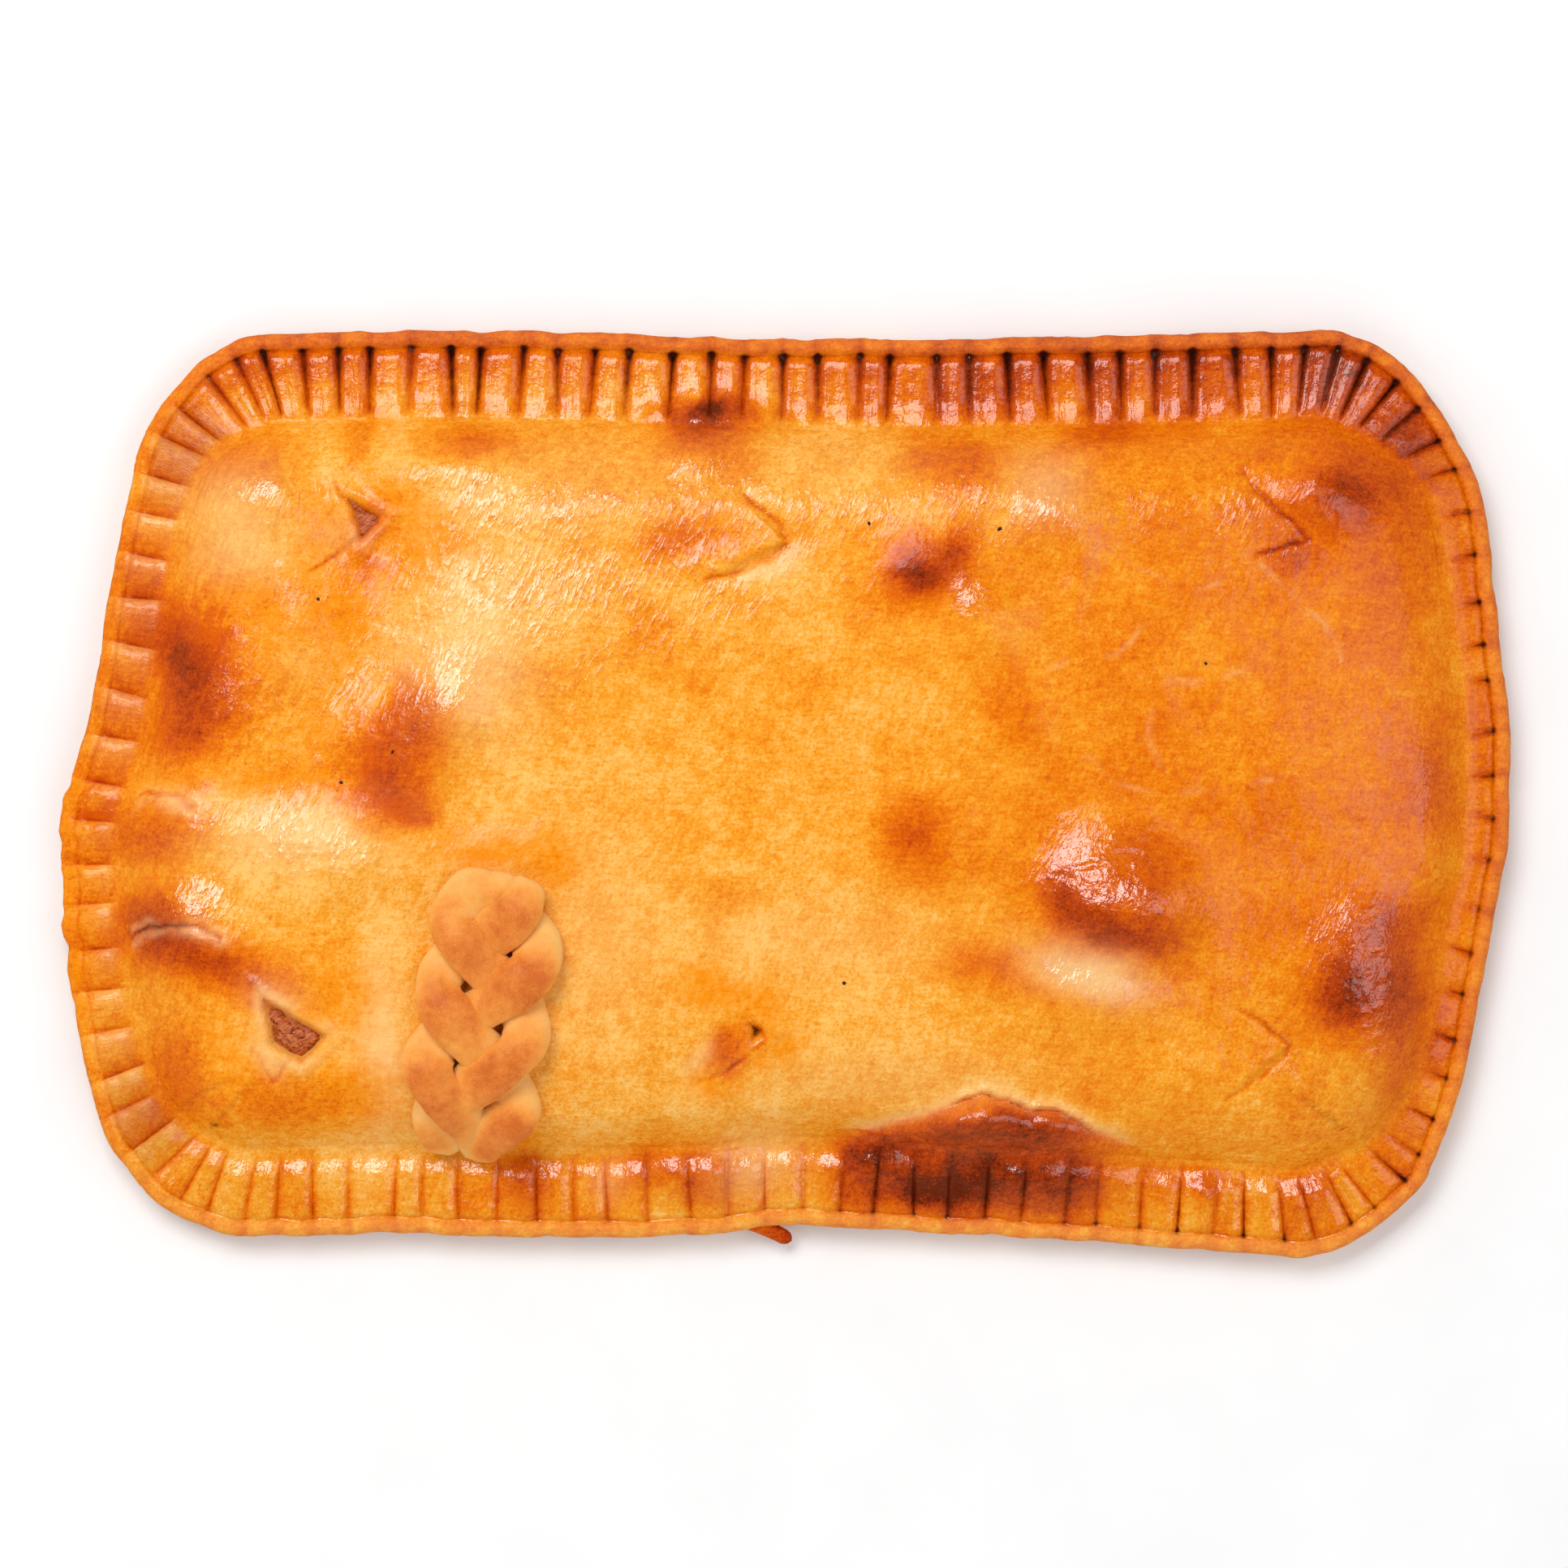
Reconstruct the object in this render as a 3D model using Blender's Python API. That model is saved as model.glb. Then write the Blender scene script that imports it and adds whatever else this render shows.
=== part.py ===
"""A rectangular baked savoury pie: a domed lid sealed to its base by a fork-crimped rim.

The crust is one solid. A plaited dough ornament lies on it, and two of its six steam vents
stand open on a little filling. Lengths are in millimetres, and MM turns them into metres.
X runs along the pie, Y across it, and Z up from the flat underside.
"""

import math

import bmesh
import bpy
import numpy as np

MM = 0.001
TURN = 2 * math.pi

# Driving dimensions.
LENGTH = 300.0
WIDTH = 192.0
DOME_HEIGHT = 26.0
RIM_HEIGHT = 7.0
LIP_HEIGHT = 8.3
GAP = 0.35

# The lip is the rolled edge of the base, outside the crimps.
LIP_RADIUS = 2.5
LIP_WIDTH = 4.7
LIP_CENTRE_HEIGHT = 4.6
FOOT_INSET = 2.8

# The crimps are longer and closer together along the long sides than along the short ones.
CRIMP_LENGTH_LONG_SIDE = 18.5
CRIMP_LENGTH_LEFT_SIDE = 12.5
CRIMP_LENGTH_RIGHT_SIDE = 9.5
CRIMP_PITCH_LONG_SIDE = 7.7
CRIMP_PITCH_SHORT_SIDE = 9.3
RIDGE_SWELL = 0.5
RIDGE_FADE = 4.0

# A groove starts in the crease behind the lip, where a pit is deepest, and runs out at the shoulder.
GROOVE_DEPTH = 2.3
GROOVE_HALF_WIDTH = 1.1
GROOVE_START = (LIP_WIDTH - 1.2, LIP_WIDTH + 0.6)
GROOVE_END_BEFORE, GROOVE_END_BEYOND = 3.5, 1.5
PIT_PLACE = LIP_WIDTH + 1.2
PIT_HALF_WIDTH = 2.0
PIT_SHARE = 0.38
CREASE_DROP = 0.4

# The lid rises in a shoulder beside the crimps, and then in a broad low dome.
SHOULDER_RISE = 9.0
SHOULDER_WIDTH = 21.0
SHOULDER_POWER = 2.2
DOME_POWER = 2.4
DOME_SQUARENESS = 3.6
DOME_START_SHARE = 0.7
DOME_BLEND = 8.0
SWELL_POWER = 1.25
SWELL_FADE = (2.0, 9.0)

# The pie isn't a true rectangle: these are the points that its outline passes through.
OUTLINE = [
    (-108.3, 94.6), (-85.8, 95.6), (-48.1, 95.4), (2.8, 93.9), (55.8, 94.4), (98.4, 95.4),
    (110.8, 96.0), (117.5, 94.8), (124.7, 91.1), (131.2, 85.2), (137.0, 77.2), (141.5, 68.5),
    (144.6, 60.0), (147.2, 38.1), (149.6, 18.2), (150.0, 4.6), (149.2, -13.0), (146.3, -28.1),
    (140.3, -59.7), (133.4, -78.0), (127.4, -85.4), (120.0, -91.4), (114.0, -94.6), (106.4, -95.9),
    (96.4, -95.3), (72.6, -93.4), (50.3, -91.9), (21.1, -90.3), (-0.7, -89.2), (-14.0, -91.0),
    (-41.6, -91.9), (-82.1, -91.0), (-107.6, -91.6), (-117.0, -90.9), (-129.4, -84.9),
    (-136.6, -76.8), (-140.9, -69.6), (-144.6, -55.5), (-148.5, -33.8), (-149.8, -18.2),
    (-149.0, -2.1), (-145.7, 8.5), (-142.3, 23.5), (-138.8, 46.7), (-135.9, 61.3),
    (-133.0, 72.2), (-127.9, 81.7), (-121.3, 88.7), (-115.2, 92.6),
]
POINTS_PER_SPAN = 24
OUTLINE_STEP = 0.5
DIRECTION_BLEND = 20.0

# Blisters and swells: centre x, centre y, half-length, half-width, height, turn in degrees.
BLISTERS = {
    "round_blister": (31.0, 47.0, 10.0, 9.0, 1.3, 0),
    "large_blister": (67.5, -21.0, 14.0, 10.5, 4.6, -8),
    "upper_swell": (39.0, 65.0, 10.0, 8.0, 1.4, 0),
    "rim_blister": (-14.5, 75.5, 12.0, 6.5, 3.2, 0),
    "brown_spot": (27.0, -7.0, 11.0, 10.0, 1.0, 0),
    "left_ridge": (-73.0, 11.0, 22.0, 8.0, 2.6, 62),
    "left_brown_swell": (-122.0, 20.0, 12.0, 20.0, 1.4, 0),
    "left_crack_upper": (-127.0, -7.0, 15.0, 9.0, 2.2, 0),
    "left_crack_lower": (-127.0, -29.0, 15.0, 10.0, 2.4, 0),
    "left_shoulder": (-111.0, 64.0, 14.0, 12.0, 2.4, 0),
    "top_swell": (-71.0, 70.0, 13.0, 8.0, 1.8, 0),
    "right_bulge_upper": (117.0, -34.0, 11.0, 15.0, 3.2, -20),
    "right_bulge_lower": (123.0, -56.0, 10.0, 17.0, 3.0, -10),
    "right_upper_swell": (118.0, 66.0, 18.0, 12.0, 2.0, 0),
    "burst_bubble": (47.0, -74.0, 21.0, 9.0, 5.0, 0),
    "rim_bulge": (-19.0, -76.5, 13.0, 7.0, 1.6, 0),
    "left_pillow": (-106.0, -46.0, 26.0, 27.0, 2.6, 0),
    "upper_vent_hollow": (-87.0, 54.0, 12.0, 12.0, -2.2, 0),
    "lower_vent_hollow": (-98.0, -49.0, 9.0, 9.0, -1.8, 0),
    "left_valley": (-84.0, 34.0, 9.0, 24.0, -1.6, -18),
}

# Steam vents are chevrons cut in the lid: the tip, then each arm as a vector from the tip.
VENTS = {
    "upper_left": ((-82.1, 54.9), (-9.5, 8.7), (-10.6, -7.0)),
    "upper_middle": ((0.5, 50.2), (-9.2, 11.0), (-14.2, -5.7)),
    "upper_right": ((106.1, 51.9), (-12.7, 12.9), (-7.7, -2.7)),
    "lower_left": ((-93.0, -49.9), (-13.4, 8.0), (-10.9, -8.0)),
    "lower_middle": ((-4.4, -48.7), (-8.4, 8.4), (-10.9, -9.6)),
    "lower_right": ((103.1, -50.2), (-10.7, 6.7), (-14.2, -14.2)),
}
SLIT_WIDTH = 0.9
SLIT_DEPTH = 2.2
CUTTER_RISE = 8.0

# Where a vent stands open, filling shows: the corners of the opening, at the lid's surface.
OPENINGS = {
    "filling_upper_left": [(-89.2, 60.6), (-82.6, 56.9), (-86.5, 52.2)],
    "filling_lower_left": [(-106.3, -41.5), (-93.0, -49.6), (-98.4, -54.6), (-104.6, -51.0)],
}
OPENING_DEPTH = 6.0
FILLING_BELOW_LID = 1.3
FILLING_SIDE_GAP = 0.91
# The filling's lump, ring by ring from its side up: share of its full width, and depth below its crown.
FILLING_RINGS = ((1.0, 1.4), (0.72, 0.5), (0.34, 0.0))
FILLING_LUMPS = 0.25
LUMP_STEP = 2.1

# The plait is three strands, flattened where they lie on the lid.
PLAIT_CENTRE = (-61.5, -45.5)
PLAIT_LENGTH = 64.0
PLAIT_LEAN = math.radians(8)
PLAIT_REACH = 9.6
PLAIT_PERIODS = 1.25
STRAND_HALF_WIDTH = 4.9
STRAND_HALF_HEIGHT = 3.1
WEAVE_HEIGHT = 2.0
STRAND_CENTRE_HEIGHT = 3.2
# Shares of the plait's length at each end: where it is drawn together, lies flat and is rounded off.
PINCH_LENGTH = 0.22
PINCHED_REACH = 0.42
WEAVE_FADE = 0.15
ROUND_END = 0.07
END_THICKNESS = 0.12
END_BULGE = 0.4
STRAND_RINGS = 30
STRAND_SIDES = 10
BED_REACH = (24.0, 42.0)
BED_POINTS = 25

# The tail of dough where the two ends of the lip meet, thinner ring by ring.
SPUR_START = np.array([-10.0, -87.6, 5.2])
SPUR_END = np.array([1.6, -93.0, 2.9])
SPUR_RADIUS = 1.9
SPUR_TAPER = np.array([1.0, 1.0, 0.98, 0.95, 0.9, 0.8, 0.5])
SPUR_SIDES = 8

# The mesh: places across one crimp, angles round the lip, and the rings from the shoulder to the middle.
FINE_SAMPLES = np.array([0.0, 0.16, 0.5, 0.84])
COARSE_SAMPLES = np.array([0.0, 0.5])
SIDE_ANGLES = (-90.0, -48.0, 0.0, 45.0)
DOME_FOOT = 6.5
DOME_RINGS = 10
LAST_RING_SHARE = 0.93
MIDDLE_LINE_SHARE = 0.72
MIDDLE_LINE_REACH = 62.0

CRUST_COLOUR = (0.90, 0.36, 0.06, 1.0)
PLAIT_COLOUR = (0.86, 0.34, 0.11, 1.0)
FILLING_COLOUR = (0.30, 0.07, 0.02, 1.0)


def smoothstep(low, high, value):
    """0 below low, 1 above high, and smooth between."""
    t = np.clip((value - low) / (high - low), 0.0, 1.0)
    return t * t * (3 - 2 * t)


def closed_curve(points, per_span):
    """A closed Catmull-Rom curve through the points, as an array of x, y."""
    p = np.array(points, float)
    before, after, beyond = np.roll(p, 1, 0), np.roll(p, -1, 0), np.roll(p, -2, 0)
    t = (np.arange(per_span) / per_span)[None, :, None]
    a, b, c, d = (q[:, None, :] for q in (before, p, after, beyond))
    curve = 0.5 * (
        2 * b
        + (c - a) * t
        + (2 * a - 5 * b + 4 * c - d) * t**2
        + (3 * b - a - 3 * c + d) * t**3
    )
    return curve.reshape(-1, 2)


def closed_resample(points, step):
    """Points at even steps along a closed curve."""
    ring = np.vstack([points, points[:1]])
    length = np.concatenate([[0.0], np.cumsum(np.linalg.norm(np.diff(ring, axis=0), axis=1))])
    count = round(length[-1] / step)
    at = np.arange(count) * length[-1] / count
    return np.column_stack([np.interp(at, length, ring[:, axis]) for axis in (0, 1)])


class Edge:
    """The pie's outline at even steps, with the direction of the crimps and their phase.

    The phase grows by 1 from one groove to the next, and grooves lie at whole numbers. The
    crimps point inwards, square to the sides, and fan round the corners.
    """

    def __init__(self):
        curve = closed_curve(OUTLINE, POINTS_PER_SPAN)
        low, high = curve.min(0), curve.max(0)
        curve = (curve - (low + high) / 2) * np.array([LENGTH, WIDTH]) / (high - low)
        self.points = closed_resample(curve, OUTLINE_STEP)
        tangent = np.roll(self.points, -1, 0) - np.roll(self.points, 1, 0)
        reach = round(DIRECTION_BLEND / OUTLINE_STEP)
        tangent = sum(np.roll(tangent, k, 0) for k in range(-reach, reach + 1))
        tangent /= np.linalg.norm(tangent, axis=1)[:, None]
        self.inward = np.stack([tangent[:, 1], -tangent[:, 0]], 1)
        facing = np.abs(self.inward[:, 1])
        short = np.where(self.inward[:, 0] > 0, CRIMP_LENGTH_LEFT_SIDE, CRIMP_LENGTH_RIGHT_SIDE)
        self.crimp_length = short + smoothstep(0.10, 0.95, facing) * (CRIMP_LENGTH_LONG_SIDE - short)
        pitch = CRIMP_PITCH_SHORT_SIDE + smoothstep(0.10, 0.75, facing) * (
            CRIMP_PITCH_LONG_SIDE - CRIMP_PITCH_SHORT_SIDE
        )
        turned = np.concatenate([[0.0], np.cumsum(OUTLINE_STEP / pitch)])
        self.crimps = round(turned[-1])
        self.phase = turned[:-1] * self.crimps / turned[-1]

    def at_phase(self, phase):
        """Points, inward directions and crimp lengths where the phase has these values."""
        known = np.concatenate([self.phase, [self.crimps]])
        rows = np.column_stack([self.points, self.inward, self.crimp_length])
        rows = np.vstack([rows, rows[:1]])
        found = np.column_stack([np.interp(phase, known, column) for column in rows.T])
        return found[:, :2], found[:, 2:4], found[:, 4]

    def nearest(self, xy):
        """For each point, its distance in from the outline, and the crimps' length there."""
        gap = np.linalg.norm(xy[:, None, :] - self.points[None, :, :], axis=2)
        index = gap.argmin(1)
        return gap[np.arange(len(xy)), index], self.crimp_length[index]


EDGE = Edge()


def swells(xy):
    """The blisters' and swells' height: a rounded hump over each one's ellipse."""
    total = np.zeros(len(xy))
    for x, y, half_length, half_width, height, turn in BLISTERS.values():
        angle = math.radians(turn)
        dx, dy = xy[:, 0] - x, xy[:, 1] - y
        u = (dx * math.cos(angle) + dy * math.sin(angle)) / half_length
        v = (dy * math.cos(angle) - dx * math.sin(angle)) / half_width
        total += height * np.exp(-((u * u + v * v) ** SWELL_POWER))
    return total


def dome(xy, inset, crimp_length):
    """The lid's rise above the rim: the shoulder beside the crimps and the broad dome."""
    t = np.clip((inset - crimp_length) / SHOULDER_WIDTH, 0.0, 1.0)
    shoulder = SHOULDER_RISE * (1 - (1 - t) ** SHOULDER_POWER)
    radius = (
        np.abs(2 * xy[:, 0] / LENGTH) ** DOME_SQUARENESS
        + np.abs(2 * xy[:, 1] / WIDTH) ** DOME_SQUARENESS
    ) ** (1 / DOME_SQUARENESS)
    broad = (DOME_HEIGHT - RIM_HEIGHT - SHOULDER_RISE) * (1 - np.minimum(radius, 1) ** DOME_POWER)
    return shoulder + broad * smoothstep(crimp_length * DOME_START_SHARE, crimp_length + DOME_BLEND, inset)


def crimp_relief(phase, inset, crimp_length):
    """Grooves pressed square to the edge, deepest at their outer end, with swollen ridges."""
    across = phase - np.round(phase)
    on_long_side = crimp_length > CRIMP_LENGTH_LEFT_SIDE + GAP
    pitch = np.where(on_long_side, CRIMP_PITCH_LONG_SIDE, CRIMP_PITCH_SHORT_SIDE)
    groove = np.exp(-((across * pitch / GROOVE_HALF_WIDTH) ** 2))
    outer_end = smoothstep(*GROOVE_START, inset)
    inner_end = 1 - smoothstep(crimp_length - GROOVE_END_BEFORE, crimp_length + GROOVE_END_BEYOND, inset)
    pit = 1 - PIT_SHARE + PIT_SHARE * np.exp(-(((inset - PIT_PLACE) / PIT_HALF_WIDTH) ** 2))
    ridge = RIDGE_SWELL * (1 - np.cos(TURN * across)) / 2
    return outer_end * inner_end * (ridge - GROOVE_DEPTH * pit * groove)


def rim(inset):
    """The rim's own height: the lip's round top, the crease behind it and the crimped band."""
    over = np.clip(np.abs(inset - LIP_RADIUS) / LIP_RADIUS, 0, 1)
    lip = LIP_CENTRE_HEIGHT + (LIP_HEIGHT - LIP_CENTRE_HEIGHT) * np.sqrt(1 - over**2)
    return np.where(inset < LIP_RADIUS, lip, np.maximum(lip, RIM_HEIGHT - CREASE_DROP))


def lid_height(xy, phase=None, crimp_length=None):
    """The upper surface, from the lip's crest inwards, with its crimps where a phase is given."""
    inset, nearest_length = EDGE.nearest(xy)
    if crimp_length is None:
        crimp_length = nearest_length
    height = rim(inset) + dome(xy, inset, crimp_length)
    height += swells(xy) * smoothstep(*SWELL_FADE, inset)
    if phase is None:
        return height + RIDGE_SWELL * (1 - smoothstep(crimp_length, crimp_length + RIDGE_FADE, inset))
    return height + crimp_relief(phase, inset, crimp_length)


def new_object(name, verts, faces, material, smooth=True):
    """An object with this mesh, given in millimetres, whose faces all point out."""
    mesh = bpy.data.meshes.new(name)
    mesh.from_pydata((np.asarray(verts, float) * MM).tolist(), [], faces)
    work = bmesh.new()
    work.from_mesh(mesh)
    many_sided = [face for face in work.faces if len(face.verts) > 4]
    bmesh.ops.triangulate(work, faces=many_sided, ngon_method="BEAUTY")
    bmesh.ops.recalc_face_normals(work, faces=work.faces)
    work.to_mesh(mesh)
    work.free()
    if smooth:
        mesh.shade_smooth()
        mesh.set_sharp_from_angle(angle=math.radians(50))
    obj = bpy.data.objects.new(name, mesh)
    bpy.context.scene.collection.objects.link(obj)
    if material:
        mesh.materials.append(material)
    return obj


def as_helper(obj):
    """Marks an object that only cuts or joins, and isn't a piece of the pie."""
    obj.hide_render = True
    obj.display_type = "WIRE"
    return obj


def dough(name, colour, roughness):
    """A plain baked-dough material."""
    material = bpy.data.materials.new(name)
    material.use_nodes = True
    shader = material.node_tree.nodes["Principled BSDF"]
    shader.inputs["Base Color"].default_value = colour
    shader.inputs["Roughness"].default_value = roughness
    shader.inputs["Metallic"].default_value = 0.0
    return material


def strip(faces, outer, inner):
    """Joins two rings of vertex numbers with quads, or triangles where inner has half as many."""
    n = len(outer)
    if len(inner) == n:
        for i in range(n):
            j = (i + 1) % n
            faces.append((outer[i], outer[j], inner[j], inner[i]))
        return
    for k in range(len(inner)):
        a, b, c = outer[2 * k], outer[2 * k + 1], outer[(2 * k + 2) % n]
        near, far = inner[k], inner[(k + 1) % len(inner)]
        faces.extend([(a, b, near), (b, far, near), (b, c, far)])


def crust_mesh():
    """Rings round the pie: underside, side, lip, crimps, shoulder and lid, closed at the middle."""
    crimps = np.arange(EDGE.crimps)
    fine = (crimps[:, None] + FINE_SAMPLES).ravel()
    middling = (crimps[:, None] + COARSE_SAMPLES).ravel()
    verts, rings = [], []

    def add(points, heights):
        start = len(verts)
        verts.extend(np.column_stack([points, heights]).tolist())
        rings.append(list(range(start, start + len(points))))

    points, inward, _ = EDGE.at_phase(middling)
    for angle in SIDE_ANGLES:
        turn = math.radians(angle)
        reach = FOOT_INSET if angle < 0 else LIP_RADIUS
        rise = LIP_CENTRE_HEIGHT if angle < 0 else LIP_HEIGHT - LIP_CENTRE_HEIGHT
        ring = points + inward * reach * (1 - math.cos(turn))
        add(ring, np.full(len(ring), LIP_CENTRE_HEIGHT + rise * math.sin(turn)))
    points, inward, length = EDGE.at_phase(fine)
    insets = (
        np.full(len(length), LIP_RADIUS),
        np.full(len(length), LIP_WIDTH - 0.7),
        np.full(len(length), LIP_WIDTH + 1.2),
        LIP_WIDTH + 0.55 * (length - LIP_WIDTH),
        length - 1.0,
        length + 2.0,
    )
    for inset in insets:
        ring = points + inward * inset[:, None]
        add(ring, lid_height(ring, fine, length))
    points, inward, length = EDGE.at_phase(middling)
    foot = points + inward * (length + DOME_FOOT)[:, None]
    add(foot, lid_height(foot))
    along = np.clip(foot[:, 0] * MIDDLE_LINE_SHARE, -MIDDLE_LINE_REACH, MIDDLE_LINE_REACH)
    middle = np.column_stack([along, np.zeros(len(foot))])
    for share in np.linspace(0, LAST_RING_SHARE, DOME_RINGS)[1:]:
        pick = slice(None, None, 2)
        ring = foot[pick] + (middle[pick] - foot[pick]) * share
        add(ring, lid_height(ring))
    faces = []
    for outer, inner in zip(rings, rings[1:]):
        if len(inner) == 2 * len(outer):
            strip(faces, inner, outer)
        else:
            strip(faces, outer, inner)
    faces.append(tuple(rings[0]))
    faces.append(tuple(rings[-1]))
    return verts, faces


def prism(verts, faces, corners, top, bottom):
    """Adds an upright prism over a flat outline."""
    start, n = len(verts), len(corners)
    verts.extend([(x, y, z) for z in (bottom, top) for x, y in corners])
    faces.append(tuple(start + n - 1 - i for i in range(n)))
    faces.append(tuple(start + n + i for i in range(n)))
    for i in range(n):
        j = (i + 1) % n
        faces.append((start + i, start + j, start + n + j, start + n + i))


def inset_corners(corners, distance):
    """The corners drawn in towards their middle, by about this distance at each side."""
    p = np.array(corners, float)
    middle = p.mean(0)
    away = p - middle
    radius = np.linalg.norm(away, axis=1)
    return middle + away * ((radius - distance) / radius)[:, None]


def slit_corners(tip, upper, lower):
    """The outline of a chevron slit: its outer edge from arm to arm, and its inner edge back."""
    half = SLIT_WIDTH / 2
    up, down = upper / np.linalg.norm(upper), lower / np.linalg.norm(lower)
    out = -(up + down) / np.linalg.norm(up + down)
    reach = half / math.sin(math.acos(float(up @ down)) / 2)
    beside_up, beside_down = np.array([up[1], -up[0]]), np.array([-down[1], down[0]])
    outer = [tip + upper + half * beside_up, tip + out * reach, tip + lower + half * beside_down]
    inner = [tip + lower - half * beside_down, tip - out * reach, tip + upper - half * beside_up]
    return outer + inner


def vent_cutters():
    """One chevron slit for each closed vent, and a pocket under each opening."""
    verts, faces = [], []
    for name, (tip, upper, lower) in VENTS.items():
        if "filling_" + name in OPENINGS:
            continue
        tip, upper, lower = (np.array(v) for v in (tip, upper, lower))
        surface = lid_height(np.array([tip, tip + upper, tip + lower]))
        corners = slit_corners(tip, upper, lower)
        prism(verts, faces, corners, float(surface[0]) + CUTTER_RISE, float(surface.min()) - SLIT_DEPTH)
    for corners in OPENINGS.values():
        surface = float(lid_height(np.array(corners)).mean())
        prism(verts, faces, corners, surface + CUTTER_RISE, surface - OPENING_DEPTH)
    return as_helper(new_object("vent_cutters", verts, faces, None, smooth=False))


def tube(centres, sides, half_widths, half_heights):
    """A closed tube along a path: an upright ellipse is carried along it, and each end is a point."""
    centres = np.asarray(centres, float)
    direction = np.gradient(centres, axis=0)
    direction[:, 2] = 0
    direction /= np.linalg.norm(direction, axis=1)[:, None]
    side = np.column_stack([-direction[:, 1], direction[:, 0], np.zeros(len(centres))])
    angle = np.arange(sides) * TURN / sides
    rings = (
        centres[:, None, :]
        + side[:, None, :] * (np.cos(angle)[None, :] * half_widths[:, None])[..., None]
        + np.array([0, 0, 1.0]) * (np.sin(angle)[None, :] * half_heights[:, None])[..., None]
    )
    verts = rings.reshape(-1, 3).tolist()
    loops = [list(range(i * sides, (i + 1) * sides)) for i in range(len(centres))]
    faces = []
    for a, b in zip(loops, loops[1:]):
        strip(faces, a, b)
    for end, sign in ((0, -1), (-1, 1)):
        verts.append((centres[end] + sign * direction[end] * half_heights[0] * END_BULGE).tolist())
        faces += [(loops[end][i], loops[end][(i + 1) % sides], len(verts) - 1) for i in range(sides)]
    return verts, faces


def plait_path(strand):
    """A strand's centre line: it swings from side to side while it rises and dips twice as often."""
    t = np.linspace(0, 1, STRAND_RINGS)
    from_end = np.minimum(t, 1 - t)
    phase = TURN * (PLAIT_PERIODS * t + strand / 3)
    reach = PINCHED_REACH + (1 - PINCHED_REACH) * smoothstep(0, PINCH_LENGTH, from_end)
    across = PLAIT_REACH * reach * np.sin(phase)
    along = (t - 0.5) * (PLAIT_LENGTH - STRAND_HALF_WIDTH)
    x = PLAIT_CENTRE[0] + along * math.sin(PLAIT_LEAN) + across * math.cos(PLAIT_LEAN)
    y = PLAIT_CENTRE[1] + along * math.cos(PLAIT_LEAN) - across * math.sin(PLAIT_LEAN)
    xy = np.column_stack([x, y])
    weave = WEAVE_HEIGHT * np.sin(2 * phase) * smoothstep(0, WEAVE_FADE, from_end)
    z = lid_height(xy) + STRAND_CENTRE_HEIGHT + weave
    ends = 1 - np.clip(1 - from_end / ROUND_END, 0, 1) ** 2
    ends = np.sqrt(np.clip(ends, END_THICKNESS, 1))
    return np.column_stack([xy, z]), STRAND_HALF_WIDTH * ends, STRAND_HALF_HEIGHT * ends


def lid_bed():
    """A block whose top follows the lid a gap above it. It trims the plait's underside."""
    x = np.linspace(-BED_REACH[0], BED_REACH[0], BED_POINTS)
    y = np.linspace(-BED_REACH[1], BED_REACH[1], 2 * BED_POINTS)
    gx, gy = np.meshgrid(x, y, indexing="ij")
    xy = np.column_stack([gx.ravel(), gy.ravel()]) + np.array(PLAIT_CENTRE)
    top = np.column_stack([xy, lid_height(xy) + GAP])
    bottom = np.column_stack([xy, np.zeros(len(xy))])
    rows, columns = gx.shape
    number = np.arange(rows * columns).reshape(rows, columns)
    faces = []
    for sheet in (number, number + rows * columns):
        for i in range(rows - 1):
            for j in range(columns - 1):
                faces.append((sheet[i, j], sheet[i + 1, j], sheet[i + 1, j + 1], sheet[i, j + 1]))
    rim_loop = [*number[:, 0], *number[-1, 1:], *number[-2::-1, -1], *number[0, -2:0:-1]]
    lower_loop = [v + rows * columns for v in rim_loop]
    strip(faces, rim_loop, lower_loop)
    faces = [tuple(int(v) for v in face) for face in faces]
    return as_helper(new_object("lid_bed", np.vstack([top, bottom]), faces, None, smooth=False))


def add_boolean(obj, name, operation, other, solver="EXACT"):
    """A Boolean modifier that joins a helper to an object, or cuts the helper from it."""
    modifier = obj.modifiers.new(name, "BOOLEAN")
    modifier.operation = operation
    modifier.solver = solver
    modifier.object = other


def make_spur():
    """The short tail of dough that sticks out where the two ends of the lip meet."""
    t = np.linspace(0, 1, len(SPUR_TAPER))
    centres = SPUR_START + (SPUR_END - SPUR_START) * t[:, None]
    radii = SPUR_RADIUS * SPUR_TAPER
    verts, faces = tube(centres, SPUR_SIDES, radii, radii)
    return as_helper(new_object("spur", verts, faces, None))


def make_crust():
    """The sealed crust, with its vents cut and the spur joined on."""
    verts, faces = crust_mesh()
    crust = new_object("crust", verts, faces, dough("baked_crust", CRUST_COLOUR, 0.35))
    add_boolean(crust, "Spur", "UNION", make_spur())
    add_boolean(crust, "Vents", "DIFFERENCE", vent_cutters())
    return crust


def make_plait():
    """Three strands joined into one solid and trimmed to lie on the lid."""
    material = dough("baked_plait", PLAIT_COLOUR, 0.5)
    strands = []
    for number in range(3):
        centres, widths, heights = plait_path(number)
        verts, faces = tube(centres, STRAND_SIDES, widths, heights)
        strands.append(new_object(f"strand_{number}", verts, faces, material))
    plait = strands[0]
    plait.name = "dough_plait"
    for number, other in enumerate(strands[1:], 1):
        add_boolean(plait, f"Strand {number}", "UNION", as_helper(other), "MANIFOLD")
    add_boolean(plait, "Bed", "DIFFERENCE", lid_bed(), "MANIFOLD")
    return plait


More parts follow.
